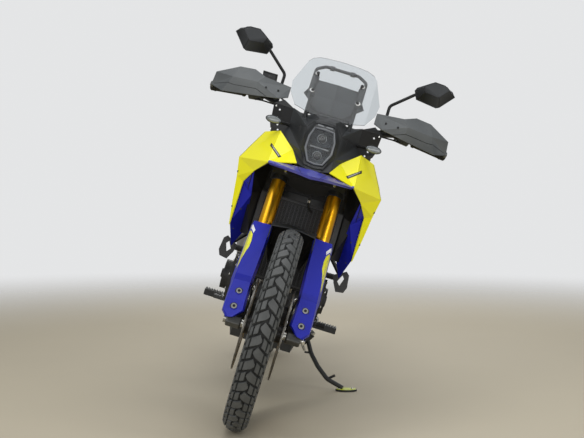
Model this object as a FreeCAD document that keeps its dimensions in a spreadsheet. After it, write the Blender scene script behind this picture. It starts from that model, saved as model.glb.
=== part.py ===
import FreeCAD, Part
import math
import os
import re
import Sketcher
from FreeCAD import Placement, Rotation, Vector

# Adventure motorcycle on its side stand, in millimetres.
# Upright frame: +X to the rider's left, +Y to the rear, +Z up, z = 0 where the tyres meet the
# floor, y = 0 midway between the axles of the standard machine. Steered pieces are drawn in a
# fork frame: z along the steering axis, y = 0 on it, the front at -y.

os.makedirs("parts", exist_ok=True)
doc = FreeCAD.newDocument("AdventureMotorcycle")
sheet = doc.addObject("Spreadsheet::Sheet", "sizes")

dimensions = {
    # Stance and steering
    "wheelbase": 1570,
    "lean_angle": 16.8,
    "rake": 28,
    "axle_offset": 62.6,
    "clamp_offset": 30,
    "clamp_y": -452.7,
    "clamp_z": 839.2,
    "fork_half_width": 105,
    # Tyres, rims and wheels
    "front_tyre_radius": 347.7,
    "front_half_width": 46,
    "front_crown": 46,
    "front_bead_radius": 266.7,
    "front_rim_half": 31,
    "rear_tyre_radius": 320.9,
    "rear_half_width": 75,
    "rear_crown": 76,
    "rear_bead_radius": 218.4,
    "rear_rim_half": 56,
    "tyre_wall": 9,
    "flange_height": 13,
    "spoke_radius": 2,
    "hub_radius": 31,
    "front_axle_radius": 10,
    "rear_axle_radius": 12,
    "running_gap": 0.05,
    "front_rotor_radius": 155,
    "front_rotor_x": 64,
    "rear_rotor_radius": 130,
    "rear_rotor_x": 72,
    "rotor_thickness": 5,
    "sprocket_radius": 98,
    "sprocket_x": 89,
    "sprocket_thickness": 7,
    # Fork
    "outer_tube_radius": 26.5,
    "inner_tube_radius": 21.5,
    "outer_tube_start": 330,
    "clamp_height": 40,
    "stem_radius": 17,
    "head_tube_length": 140,
    "upper_clamp_start": 186,
    "fork_top": 232,
    # Handlebar
    "bar_radius": 11.1,
    "grip_radius": 16.5,
    "bar_half_width": 470,
    # Bodywork and frame
    "panel_thickness": 3,
    "screen_thickness": 3,
    "frame_tube": 19,
    "subframe_tube": 12.5,
    "seat_front_y": 300,
    "tail_axle_y": 785,
    "pivot_y": 205,
    "pivot_z": 420,
    "arm_inner_x": 103,
    "arm_thickness": 25,
    "chain_width": 14,
    "chain_height": 15,
    "front_sprocket_y": 108,
    "front_sprocket_z": 418,
    "front_sprocket_radius": 34,
    "header_radius": 21,
    "rack_hole_radius": 4.25,
    "rack_pitch_circle": 120,
    "seat_height": 855,
    # Side stand
    "stand_pivot_x": 178,
    "stand_pivot_y": -35,
    "stand_pivot_z": 262,
    "stand_tube_radius": 9,
    "foot_reach": 404,
    "foot_ahead": -122,
    "foot_thickness": 8,
}

for row, (word, number) in enumerate(dimensions.items(), 1):
    sheet.set(f"A{row}", word)
    sheet.set(f"B{row}", str(number))
    sheet.setAlias(f"B{row}", word)
doc.recompute()

aliasPattern = re.compile(r"\b(" + "|".join(dimensions) + r")\b")
subParts = []


def bound(formula):
    """The formula with every size read from the sheet."""
    return aliasPattern.sub(r"sizes.\1", str(formula))


def size(formula):
    """The present value of a formula of sizes."""
    value = sheet.evalExpression(bound(formula))
    return float(getattr(value, "Value", value))


def point(x, y, z):
    return Vector(size(x), size(y), size(z))


# Frames of reference

rake = math.radians(size("rake"))
axisUp = Vector(0, math.sin(rake), math.cos(rake))
axisFront = Vector(0, -math.cos(rake), math.sin(rake))
clampPoint = point(0, "clamp_y", "clamp_z")
forkReach = (clampPoint.z + size("axle_offset") * math.sin(rake)
             - size("front_tyre_radius")) / math.cos(rake)
forkFoot = clampPoint - axisUp * forkReach
frontAxle = forkFoot + axisFront * size("axle_offset")
rearAxle = Vector(0, frontAxle.y + size("wheelbase"), size("rear_tyre_radius"))

upright = Placement()
forkTurn = Rotation(Vector(1, 0, 0), -size("rake"))
forkLow = Placement(forkFoot, forkTurn)
forkTop = Placement(clampPoint, forkTurn)
frontWheel = Placement(frontAxle, Rotation())
rearWheel = Placement(rearAxle, Rotation())


def parkedStance():
    """Lean on the side stand, with both tyres' crowns just on the floor."""
    lean = math.radians(size("lean_angle"))
    frontLift = size("front_crown") * (1 - math.cos(lean))
    rearLift = size("rear_crown") * (1 - math.cos(lean))
    pitch = math.degrees(math.atan((rearLift - frontLift) / size("wheelbase")))
    leaned = Placement(Vector(), Rotation(Vector(0, 1, 0), size("lean_angle")))
    pitched = Placement(Vector(0, 0, frontLift), Rotation(Vector(1, 0, 0), pitch),
                        Vector(0, frontAxle.y, 0))
    return pitched.multiply(leaned)


stance = parkedStance()


# Ways of making pieces

def originPlane(body, role):
    return next(item for item in body.Origin.OriginFeatures if item.Role == role)


def drawn(body, name, role, loops, start="0"):
    """A sketch of closed loops, every corner bound to the sheet.

    A loop is a list of (x, y) corners, each with an optional radius: the side that leaves the
    corner is then an arc, bulging to the left of the way it goes for a positive radius. A loop
    given as ("circle", x, y, radius) is a circle.
    """
    sketch = body.newObject("Sketcher::SketchObject", name)
    sketch.AttachmentSupport = [(originPlane(body, role), "")]
    sketch.MapMode = "FlatFace"
    sketch.setExpression(".AttachmentOffset.Base.z", bound(start))

    def bind(kind, target, formula, number):
        index = sketch.addConstraint(Sketcher.Constraint(kind, *target, number))
        sketch.setExpression(f"Constraints[{index}]", bound(formula))

    for loop in loops:
        if loop[0] == "circle":
            centre = point(loop[1], loop[2], 0)
            circle = Part.Circle(centre, Vector(0, 0, 1), size(loop[3]))
            index = sketch.addGeometry(circle, False)
            bind("DistanceX", (-1, 1, index, 3), loop[1], centre.x)
            bind("DistanceY", (-1, 1, index, 3), loop[2], centre.y)
            bind("Radius", (index,), loop[3], size(loop[3]))
            continue
        corners = [point(item[0], item[1], 0) for item in loop]
        first = sketch.GeometryCount
        for index, item in enumerate(loop):
            here = corners[index]
            there = corners[(index + 1) % len(loop)]
            if len(item) == 3:
                sketch.addGeometry(bulge(here, there, size(item[2])), False)
            else:
                sketch.addGeometry(Part.LineSegment(here, there), False)
        for index, item in enumerate(loop):
            following = first + (index + 1) % len(loop)
            ends = sideEnds(loop, index)
            nextStart = sideEnds(loop, (index + 1) % len(loop))[0]
            sketch.addConstraint(
                Sketcher.Constraint("Coincident", first + index, ends[1], following, nextStart))
            bind("DistanceX", (-1, 1, first + index, ends[0]), item[0], corners[index].x)
            bind("DistanceY", (-1, 1, first + index, ends[0]), item[1], corners[index].y)
            if len(item) == 3:
                bind("Radius", (first + index,), f"abs({item[2]})", abs(size(item[2])))
    return sketch


def sideEnds(loop, index):
    """Which ends of a side are its start and its end: arcs always run anticlockwise."""
    item = loop[index]
    clockwise = len(item) == 3 and size(item[2]) > 0
    return (2, 1) if clockwise else (1, 2)


def bulge(here, there, radius):
    """The short arc between two points, bulging left of the way for a positive radius."""
    chord = there - here
    middle = (here + there) / 2
    left = Vector(-chord.y, chord.x, 0).normalize()
    side = 1 if radius > 0 else -1
    rise = abs(radius) - math.sqrt(radius * radius - (chord.Length / 2) ** 2)
    arc = Part.Arc(here, middle + left * side * rise, there)
    return arc


def newBody(label):
    return doc.addObject("PartDesign::Body", label)


def turned(label, loops, axis="X_Axis"):
    """A body of revolution about X, or about Y for sketches drawn that way."""
    body = newBody(label)
    sketch = drawn(body, label + "_profile", "XY_Plane", loops)
    revolution = body.newObject("PartDesign::Revolution", label + "_turned")
    revolution.Profile = sketch
    revolution.ReferenceAxis = (originPlane(body, axis), [""])
    revolution.Angle = 360
    return body


def plate(label, role, loops, start, thickness, body=None):
    """A plate drawn on an origin plane, from its start along the plane's normal."""
    body = body or newBody(label)
    sketch = drawn(body, label + "_outline", role, loops, start)
    pad = body.newObject("PartDesign::Pad", label + "_pad")
    pad.Profile = sketch
    pad.setExpression("Length", bound(thickness))
    return body


def around(body, feature, count):
    """The feature repeated about the body's X axis."""
    doc.recompute()
    pattern = body.newObject("PartDesign::PolarPattern", feature.Name + "_ring")
    pattern.Originals = [feature]
    pattern.Axis = (originPlane(body, "X_Axis"), [""])
    pattern.Angle = 360
    pattern.Occurrences = count
    body.Tip = pattern
    return pattern


def mirrored(source):
    """The source's mirror image in the machine's middle plane."""
    image = doc.addObject("Part::Mirroring", source.Name + "_mirror")
    image.Source = source
    image.Normal = Vector(1, 0, 0)
    return image


def together(label, pieces):
    """Several separate solids that share a node."""
    group = doc.addObject("Part::Compound", label)
    group.Links = pieces
    return group


def fixed(label, shape):
    """A piece whose shape is made directly from the sizes."""
    feature = doc.addObject("Part::Feature", label)
    feature.Shape = shape
    return feature


def keep(label, item, place=upright):
    """Takes the object as a sub-part: its label names its file."""
    item.Label = label
    subParts.append((label, item, place))
    return item


# Shapes made directly

def flip(shape):
    """The shape's mirror image in the machine's middle plane."""
    return shape.mirror(Vector(), Vector(1, 0, 0))


def both(shape):
    return [shape, flip(shape)]


def compound(shapes):
    solids = []
    for shape in shapes:
        solids.extend(shape.Solids)
    return Part.makeCompound(solids)


def joined(shapes):
    """The shapes fused, with their shared seams removed."""
    whole = shapes[0].fuse(shapes[1:])
    return whole.removeSplitter()


def cylinder(start, end, radius):
    way = end - start
    return Part.makeCylinder(radius, way.Length, start, way)


def block(low, high):
    span = high - low
    return Part.makeBox(span.x, span.y, span.z, low)


def bentPath(corners, radius):
    """Straight runs joined by tangent arcs."""
    edges = []
    start = corners[0]
    for before, corner, after in zip(corners, corners[1:], corners[2:]):
        inward = (before - corner).normalize()
        outward = (after - corner).normalize()
        half = inward.getAngle(outward) / 2
        reach = min(radius / math.tan(half), 0.48 * (before - corner).Length,
                    0.48 * (after - corner).Length)
        bend = reach * math.tan(half)
        middle = (inward + outward).normalize()
        apex = corner + middle * (bend / math.sin(half) - bend)
        first = corner + inward * reach
        last = corner + outward * reach
        edges.append(Part.LineSegment(start, first).toShape())
        edges.append(Part.Arc(first, apex, last).toShape())
        start = last
    edges.append(Part.LineSegment(start, corners[-1]).toShape())
    return Part.Wire(edges)


def tube(corners, radius, bend, bore=0):
    """A round tube along a path of runs and arcs."""
    path = bentPath(corners, bend)
    outer = swept(path, corners, radius)
    if bore:
        outer = outer.cut(swept(path, corners, bore))
    return outer


def swept(path, corners, radius):
    section = Part.Wire(Part.Circle(corners[0], corners[1] - corners[0], radius).toShape())
    return path.makePipeShell([section], True, False)


def flatFaces(corners):
    """One planar face, or a fan of triangles where the corners don't lie in a plane."""
    if len(corners) > 3:
        normal = (corners[1] - corners[0]).cross(corners[2] - corners[0]).normalize()
        if all(abs((item - corners[0]).dot(normal)) < 1e-4 for item in corners):
            return [Part.Face(Part.makePolygon(corners + corners[:1]))]
    faces = []
    for index in range(1, len(corners) - 1):
        triangle = [corners[0], corners[index], corners[index + 1]]
        faces.append(Part.Face(Part.makePolygon(triangle + triangle[:1])))
    return faces


def closedSolid(polygons):
    """A solid whose boundary is the given polygons."""
    faces = []
    for corners in polygons:
        faces.extend(flatFaces(corners))
    shell = Part.makeShell(faces)
    shell.sewShape()
    solid = Part.makeSolid(shell)
    if solid.Volume < 0:
        solid.reverse()
    return solid


def triangles(polygons):
    result = []
    for corners in polygons:
        for index in range(1, len(corners) - 1):
            result.append((corners[0], corners[index], corners[index + 1]))
    return result


def panel(points, polygons, thickness):
    """A folded sheet: the outer polygons, seen anticlockwise, and their copy inside."""
    names = triangles(polygons)
    normals = {name: Vector() for name in points}
    places = {name: Vector(*place) for name, place in points.items()}
    for a, b, c in names:
        normal = (places[b] - places[a]).cross(places[c] - places[a]).normalize()
        for name, left, right in ((a, b, c), (b, c, a), (c, a, b)):
            angle = (places[left] - places[name]).getAngle(places[right] - places[name])
            normals[name] += normal * angle
    inner = {name: places[name] - normals[name].normalize() * thickness
             for name in points if normals[name].Length > 0}
    faces = []
    edges = {}
    for a, b, c in names:
        faces.append([places[a], places[b], places[c]])
        faces.append([inner[c], inner[b], inner[a]])
        for start, end in ((a, b), (b, c), (c, a)):
            edges[(start, end)] = True
    for start, end in edges:
        if (end, start) not in edges:
            faces.append([places[end], places[start], inner[start]])
            faces.append([places[end], inner[start], inner[end]])
    return closedSolid(faces)


def rows(stations):
    """Names and quads for a sheet given as rows of points."""
    points = {}
    polygons = []
    for line, station in enumerate(stations):
        for place, item in enumerate(station):
            points[(line, place)] = item
    for line in range(len(stations) - 1):
        for place in range(len(stations[0]) - 1):
            polygons.append(((line, place), (line, place + 1),
                             (line + 1, place + 1), (line + 1, place)))
    return points, polygons


def prism(outline, extrusion):
    """A closed outline swept along a vector."""
    face = Part.Face(Part.makePolygon(outline + outline[:1]))
    return face.extrude(extrusion)


def rounded(shape, radius):
    """All edges of a shape rounded."""
    return shape.makeFillet(radius, shape.Edges)


def lofted(sections, ruled=False):
    """A solid through closed smooth sections."""
    wires = []
    for section in sections:
        curve = Part.BSplineCurve()
        curve.interpolate(section, PeriodicFlag=True)
        wires.append(Part.Wire(curve.toShape()))
    return Part.makeLoft(wires, True, ruled)


# Wheels

def tyre(label, kind):
    """Tyre, hollow, closed by the rim: bead, side wall and a round crown."""
    radius = f"{kind}_tyre_radius"
    crown = f"{kind}_crown"
    bead = f"{kind}_bead_radius"
    shoulder = f"({kind}_half_width - 3)"
    flange = f"({kind}_rim_half - 4)"
    shoulderRadius = f"({radius} - {crown} + sqrt({crown}^2 - {shoulder}^2))"
    inShoulder = f"({shoulder} - tyre_wall)"
    inRadius = f"({radius} - {crown} + sqrt(({crown} - tyre_wall)^2 - {inShoulder}^2))"
    lipRadius = f"({bead} + flange_height + 3)"
    outline = [
        (f"-{flange} + 9", bead),
        (f"-{flange}", bead),
        (f"-{flange}", f"{bead} + flange_height"),
        (f"-{flange} - 5", lipRadius, 45),
        (f"-{shoulder}", shoulderRadius, crown),
        (shoulder, shoulderRadius, 45),
        (f"{flange} + 5", lipRadius),
        (flange, f"{bead} + flange_height"),
        (flange, bead),
        (f"{flange} - 9", bead),
        (f"{flange} - 6", f"{lipRadius} + 2"),
        (inShoulder, inRadius, f"tyre_wall - {crown}"),
        (f"-{inShoulder}", inRadius),
        (f"-{flange} + 6", f"{lipRadius} + 2"),
    ]
    return turned(label, [outline])


def rim(label, kind):
    """Spoked-wheel rim with bead seats, flanges and a well."""
    half = f"{kind}_rim_half"
    bead = f"{kind}_bead_radius"
    top = f"({bead} + flange_height)"
    outline = [
        (f"-{half}", top),
        (f"-{half} + 4", top),
        (f"-{half} + 4", bead),
        (f"-{half} + 16", bead),
        (f"-{half} + 20", f"{bead} - 9"),
        (f"{half} - 20", f"{bead} - 9"),
        (f"{half} - 16", bead),
        (f"{half} - 4", bead),
        (f"{half} - 4", top),
        (half, top),
        (half, f"{bead} - 5"),
        (f"{half} * 0.4", f"{bead} - 19"),
        (f"-{half} * 0.4", f"{bead} - 19"),
        (f"-{half}", f"{bead} - 5"),
    ]
    return turned(label, [outline])


def hub(label, kind, flangeX, flangeRadius, bore):
    """Wheel hub, as long as the discs' outer faces, with two spoke flanges and their spokes."""
    half = f"({kind}_rotor_x + rotor_thickness / 2)"
    body = turned(label, [[
        (f"-{half}", bore),
        (f"-{half}", "hub_radius"),
        (f"-{flangeX} - 8", "hub_radius"),
        (f"-{flangeX} - 8", flangeRadius),
        (f"-{flangeX}", flangeRadius),
        (f"-{flangeX} + 6", 27),
        (f"{flangeX} - 6", 27),
        (flangeX, flangeRadius),
        (f"{flangeX} + 8", flangeRadius),
        (f"{flangeX} + 8", "hub_radius"),
        (half, "hub_radius"),
        (half, bore),
    ]])
    reach = size(f"{kind}_bead_radius - 14")
    for side in (-1, 1):
        for lead in (-1, 1):
            spokeRing(body, side, lead, size(flangeX), size(flangeRadius), reach)
    return body


def spokeRing(body, side, lead, flangeX, flangeRadius, reach):
    """Nine spokes that leave one flange slanting one way."""
    phase = math.radians(10 * (side + 1) + 5 * lead)
    slant = math.radians(42) * lead
    x = side * (flangeX + 4 + 3 * lead)
    start = Vector(x, (flangeRadius - 6) * math.cos(phase), (flangeRadius - 6) * math.sin(phase))
    end = Vector(side * 7, reach * math.cos(phase + slant), reach * math.sin(phase + slant))
    spoke = body.newObject("PartDesign::AdditiveCylinder", f"{body.Name}_spoke")
    spoke.setExpression("Radius", bound("spoke_radius"))
    spoke.Height = (end - start).Length
    spoke.Placement = Placement(start, Rotation(Vector(0, 0, 1), end - start))
    around(body, spoke, 9)


def rotor(label, radius, x):
    """Brake disc: a ring on a five-armed carrier around the hub."""
    inner = size("hub_radius")
    body = plate(label, "YZ_Plane", [("circle", 0, 0, radius), ("circle", 0, 0, f"{radius} - 34")],
                 f"{x} - rotor_thickness / 2", "rotor_thickness")
    plate(label + "_carrier", "YZ_Plane",
          [("circle", 0, 0, inner + 30), ("circle", 0, 0, inner)],
          f"{x} - rotor_thickness / 2", "rotor_thickness", body)
    plate(label + "_arm", "YZ_Plane",
          [[(inner + 24, -9), (f"{radius} - 30", -5), (f"{radius} - 30", 5), (inner + 24, 9)]],
          f"{x} - rotor_thickness / 2", "rotor_thickness", body)
    around(body, doc.getObject(label + "_arm_pad"), 5)
    return body


def makeWheels():
    keep("front_tyre", tyre("front_tyre", "front"), frontWheel)
    keep("front_rim", rim("front_rim", "front"), frontWheel)
    keep("front_hub", hub("front_hub", "front", "34", "36", "front_axle_radius + running_gap"),
         frontWheel)
    disc = rotor("front_rotor", "front_rotor_radius", "front_rotor_x")
    keep("front_rotors", together("front_rotors", [disc, mirrored(disc)]), frontWheel)
    keep("rear_tyre", tyre("rear_tyre", "rear"), rearWheel)
    keep("rear_rim", rim("rear_rim", "rear"), rearWheel)
    keep("rear_hub", hub("rear_hub", "rear", "38", "52", "rear_axle_radius + running_gap"),
         rearWheel)
    keep("rear_rotor", rotor("rear_rotor", "rear_rotor_radius", "-rear_rotor_x"), rearWheel)
    sprocket = plate("rear_sprocket", "YZ_Plane",
                     [("circle", 0, 0, "sprocket_radius"), ("circle", 0, 0, 40)],
                     "sprocket_x - sprocket_thickness / 2", "sprocket_thickness")
    carrier = plate("sprocket_carrier", "YZ_Plane",
                    [("circle", 0, 0, 60), ("circle", 0, 0, "rear_axle_radius + running_gap")],
                    "rear_rotor_x + rotor_thickness / 2",
                    "sprocket_x + sprocket_thickness / 2 - rear_rotor_x - rotor_thickness / 2",
                    sprocket)
    keep("rear_sprocket", carrier, rearWheel)


# Fork and front end

steered = {}


def keepSteered(label, shape, frame):
    """A steered piece, remembered so that its neighbours can be shaped to it."""
    steered[label] = shape
    return keep(label, fixed(label, shape), frame)


def makeClamps():
    """Lower and upper clamps, joined by the steering stem."""
    half = size("fork_half_width")
    forward = -size("clamp_offset")
    tubeRadius = size("outer_tube_radius")
    height = size("clamp_height")
    upper = size("upper_clamp_start")

    def clamp(low):
        front = forward - tubeRadius - 7.5
        back = forward + tubeRadius + 9.5
        side = half + tubeRadius + 5.5
        inner = half - tubeRadius - 7.5
        outline = [Vector(-side, front + 14, low), Vector(-half + 26, front, low),
                   Vector(half - 26, front, low), Vector(side, front + 14, low),
                   Vector(side + 4, back - 6, low), Vector(inner, back, low),
                   Vector(34, 32, low), Vector(-34, 32, low),
                   Vector(-inner, back, low), Vector(-side - 4, back - 6, low)]
        body = prism(outline, Vector(0, 0, height))
        for hand in (-1, 1):
            centre = Vector(hand * half, forward, low - 1)
            body = body.cut(Part.makeCylinder(tubeRadius, height + 2, centre))
        return body

    stem = Part.makeCylinder(size("stem_radius"), upper + height, Vector())
    keepSteered("fork_clamps", joined([clamp(0), stem, clamp(upper)]), forkTop)


def makeForkTubes():
    """Gold outer tubes, through both clamps."""
    start = size("outer_tube_start")
    length = forkReach + size("fork_top") - start
    tubes = []
    for side in (-1, 1):
        foot = Vector(side * size("fork_half_width"), -size("clamp_offset"), start)
        outer = Part.makeCylinder(size("outer_tube_radius"), length, foot)
        bore = Part.makeCylinder(size("inner_tube_radius") + 0.3, length - 40, foot)
        tubes.append(outer.cut(bore))
    keepSteered("fork_tubes", compound(tubes), forkLow)


def makeForkLegs():
    """Inner tubes, with the cast axle lugs at their feet."""
    forward = -size("clamp_offset")
    half = size("fork_half_width")
    slide = Part.makeCylinder(size("inner_tube_radius"), size("outer_tube_start") + 150,
                              Vector(half, forward, 40))
    lugOutline = [Vector(half - 27, forward + 26, 88), Vector(half - 27, forward - 28, 88),
                  Vector(half - 27, forward - 34, 40), Vector(half - 27, -84, 8),
                  Vector(half - 27, -80, -18), Vector(half - 27, -52, -22),
                  Vector(half - 27, -18, 10), Vector(half - 27, forward + 26, 50)]
    lug = rounded(prism(lugOutline, Vector(52, 0, 0)), 6)
    leg = joined([slide, lug])
    bore = cylinder(Vector(half - 40, -size("axle_offset"), 0),
                    Vector(half + 40, -size("axle_offset"), 0), size("front_axle_radius"))
    leg = leg.cut(bore)
    keepSteered("fork_legs", compound(both(leg)), forkLow)


def makeFrontAxle():
    body = turned("front_axle", [[
        ("-fork_half_width - 34", 0),
        ("-fork_half_width - 34", 15),
        ("-fork_half_width - 25", 15),
        ("-fork_half_width - 25", "front_axle_radius"),
        ("-fork_half_width + 27", "front_axle_radius"),
        ("-fork_half_width + 27", 15),
        ("-front_rotor_x - rotor_thickness / 2 - 0.5", 15),
        ("-front_rotor_x - rotor_thickness / 2 - 0.5", "front_axle_radius"),
        ("front_rotor_x + rotor_thickness / 2 + 0.5", "front_axle_radius"),
        ("front_rotor_x + rotor_thickness / 2 + 0.5", 15),
        ("fork_half_width - 27", 15),
        ("fork_half_width - 27", "front_axle_radius"),
        ("fork_half_width + 30", "front_axle_radius"),
        ("fork_half_width + 30", 0),
    ]])
    hollow = drawn(body, "axle_bore", "YZ_Plane", [("circle", 0, 0, 6)], "-fork_half_width - 40")
    pocket = body.newObject("PartDesign::Pocket", "axle_bore_pocket")
    pocket.Profile = hollow
    pocket.Type = "ThroughAll"
    pocket.Reversed = True
    keep("front_axle", body, frontWheel)


def makeForkGuards():
    """Blue shells around the front and outside of the fork legs."""
    stations = [
        [(78, -52, 376), (84, -66, 376), (141, -62, 376), (148, -18, 376)],
        [(80, -58, 262), (86, -76, 262), (140, -70, 262), (152, -14, 262)],
        [(84, -64, 158), (90, -92, 158), (144, -84, 158), (156, -20, 158)],
        [(86, -62, 138), (91, -84, 138), (145, -78, 138), (153, -26, 138)],
        [(84, -78, 66), (89, -100, 62), (147, -92, 60), (152, -48, 62)],
        [(82, -92, 30), (87, -106, 26), (148, -98, 20), (150, -66, 22)],
        [(104, -106, -2), (112, -109, -8), (124, -107, -10), (132, -96, -6)],
    ]
    guard = panel(*rows(stations), size("panel_thickness"))
    bosses = []
    for x, y, z in ((115, -88, 96), (116, -99, 35)):
        bosses.append(cylinder(Vector(x, -40, z), Vector(x, y, z), 8))
    whole = joined([guard] + bosses).cut(steered["fork_legs"])
    guards = [max(piece.Solids, key=lambda solid: solid.Volume) for piece in both(whole)]
    keepSteered("fork_guards", compound(guards), forkLow)


def makeFrontFender():
    """Arched fender with a raised front lip, its skirts held between the fork guards."""
    radius = size("front_tyre_radius")
    width = size("fork_half_width") - 26
    stations = []
    for degrees, narrower, crest, rim, skirt in (
            (-27, 19, 21, 6, -4), (-16, 9, 34, 18, -16), (-3, 0, 52, 46, -30),
            (0, 0, 51, 46, -32), (4.5, 0, 25, 17, -32), (6, 1, 22, 14, -30)):
        angle = math.radians(degrees)
        half = width - narrower
        station = []
        for x, rise in ((-half, skirt), (-half, rim), (-half * 0.8, crest - 6),
                        (-half * 0.3, crest), (half * 0.3, crest), (half * 0.8, crest - 6),
                        (half, rim), (half, skirt)):
            reach = radius + rise
            station.append((x, -size("axle_offset") - reach * math.sin(angle),
                            reach * math.cos(angle)))
        stations.append(station)
    shell = panel(*rows(stations), size("panel_thickness"))
    shell = shell.cut([steered["fork_guards"], steered["fork_tubes"], steered["fork_legs"]])
    fender = max(shell.Solids, key=lambda solid: solid.Volume)
    keepSteered("front_fender", fender, forkLow)


def makeFrontCalipers():
    """Brake calipers behind the fork legs, each astride its disc and bolted to the leg."""
    x = size("front_rotor_x")
    disc = size("front_rotor_radius")
    shape = rounded(block(Vector(x - 24, disc - 46, -44), Vector(x + 16, disc + 17, 44)), 5)
    slot = block(Vector(x - 5, disc - 60, -60), Vector(x + 5, disc + 6, 60))
    shape = shape.cut(slot)
    shape.Placement = Placement(Vector(0, -size("axle_offset"), 0), Rotation(Vector(1, 0, 0), 40))
    ear = block(Vector(x + 14, -24, 40), Vector(x + 22, 36, 92))
    shape = joined([Part.makeCompound(shape.Solids).Solids[0], ear]).cut(steered["fork_legs"])
    shape = max(shape.Solids, key=lambda solid: solid.Volume)
    keepSteered("front_calipers", compound(both(shape)), forkLow)


def makeHandlebar():
    """Wide handlebar on two risers, with its grips."""
    half = size("bar_half_width")
    corners = [Vector(-half, 146, 404), Vector(-270, 84, 392), Vector(-120, 2, 300),
               Vector(120, 2, 300), Vector(270, 84, 392), Vector(half, 146, 404)]
    bar = tube(corners, size("bar_radius"), 70)
    risers = []
    top = size("upper_clamp_start") + size("clamp_height")
    for side in (-1, 1):
        low = Vector(side * 48 - 17, -18, top)
        riser = block(low, low + Vector(34, 40, 300 + 22 - top))
        risers.append(rounded(riser, 4))
    whole = joined([bar] + risers)
    grips = []
    for side in (-1, 1):
        inner = corners[0] + (corners[1] - corners[0]).normalize() * 132
        grip = cylinder(corners[0], inner, size("grip_radius"))
        bore = cylinder(corners[0], inner, size("bar_radius"))
        weight = cylinder(corners[0] + (corners[0] - corners[1]).normalize() * 16, corners[0], 17)
        piece = joined([grip.cut(bore), weight])
        grips.append(piece if side < 0 else flip(piece))
    keepSteered("handlebar", whole, forkTop)
    keepSteered("grips", compound(grips), forkTop)


def makeHandControls():
    """Switch pods, lever brackets with the levers, and the front brake's reservoir."""
    pods = []
    for side in (-1, 1):
        outward = Vector(side * 200, 62, 12).normalize()
        start = Vector(side * 300, 93.3, 393.8)
        pod = cylinder(start - outward * 26, start + outward * 26, 24)
        pod = pod.cut(cylinder(start - outward * 30, start + outward * 30, size("bar_radius")))
        perch = block(Vector(side * 262 - 14, 30, 376), Vector(side * 262 + 14, 66, 400))
        lever = tube([Vector(side * 262, 40, 388), Vector(side * 300, 46, 384),
                      Vector(side * 420, 92, 386), Vector(side * 452, 96, 392)], 6, 40)
        pods.extend([pod, joined([perch, lever])])
    reservoir = rounded(block(Vector(-292, -14, 400), Vector(-238, 44, 434)), 5)
    pods.append(reservoir)
    clear = [piece.cut(steered["handlebar"]) for piece in pods]
    keepSteered("hand_controls", compound(clear), forkTop)


def makeHandguards():
    """Angular guards ahead of the grips, each on its bar bracket."""
    half = size("bar_half_width")
    inward = {
        "innerLow": (265, -33, 322), "lowMid": (182, -10, 320), "lowOut": (40, 52, 336),
        "outTop": (-4, 60, 418), "peak": (85, 6, 437), "inTop": (146, -14, 431),
        "shoulder": (193, -38, 395), "innerTop": (299, -33, 386), "edge": (-12, 100, 380),
        "bulgeIn": (170, -34, 366), "bulgeOut": (70, 8, 384), "innerEnd": (300, -30, 340),
    }
    points = {name: (half - x, y, z) for name, (x, y, z) in inward.items()}
    polygons = [
        ("innerEnd", "innerLow", "innerTop"), ("innerLow", "bulgeIn", "shoulder", "innerTop"),
        ("innerLow", "lowMid", "bulgeIn"), ("lowMid", "lowOut", "bulgeOut", "bulgeIn"),
        ("lowOut", "edge", "outTop", "bulgeOut"), ("bulgeOut", "outTop", "peak"),
        ("bulgeIn", "bulgeOut", "peak", "inTop"), ("bulgeIn", "inTop", "shoulder"),
    ]
    guard = panel(points, [tuple(reversed(item)) for item in polygons], -4)
    outerArm = tube([Vector(half + 6, 150, 405), Vector(half + 13, 124, 394),
                     Vector(half + 8, 92, 384)], 7, 20)
    innerArm = tube([Vector(230, 62, 367), Vector(236, 10, 360), Vector(half - 230, -28, 354)], 7, 20)
    whole = joined([guard, outerArm, innerArm])
    whole = whole.cut([steered["handlebar"], steered["grips"]])
    whole = max(whole.Solids, key=lambda solid: solid.Volume)
    keepSteered("handguards", compound(both(whole)), forkTop)


def makeMirrors():
    """Faceted mirror heads on bent stems."""
    rim = [Vector(441, -62, 542), Vector(427, -66, 558), Vector(405, -70, 565),
           Vector(343, -72, 567), Vector(292, -62, 532), Vector(286, -58, 521),
           Vector(300, -46, 492), Vector(382, -42, 483), Vector(393, -44, 488)]
    middle = Vector(362, -62, 532)
    front = []
    for corner in rim:
        front.append(middle + (corner - middle) * 0.62 + Vector(0, -34, 0))
    faces = [rim, list(reversed(front))]
    for index in range(len(rim)):
        following = (index + 1) % len(rim)
        faces.append([rim[following], rim[index], front[index]])
        faces.append([rim[following], front[index], front[following]])
    head = closedSolid(faces)
    stem = tube([Vector(216, 56, 372), Vector(212, 8, 404), Vector(212, -6, 454),
                 Vector(289, -46, 508), Vector(334, -76, 526)], 6, 22)
    foot = cylinder(Vector(216, 52, 366), Vector(216, 30, 392), 12)
    mirror = joined([head, stem, foot]).cut([steered["handlebar"], steered["handguards"]])
    mirror = max(mirror.Solids, key=lambda solid: solid.Volume)
    keepSteered("mirrors", compound(both(mirror)), forkTop)


# Chassis

chassis = {}


def keepChassis(label, shape):
    """A chassis piece, remembered so that its neighbours can be shaped to it."""
    chassis[label] = shape
    return keep(label, fixed(label, shape))


def clearOf(shape, *labels):
    """The shape without what its neighbours already fill: it then seats on them."""
    cut = shape.cut([chassis[label] for label in labels])
    return compound([solid for solid in cut.Solids if solid.Volume > 500])


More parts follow.
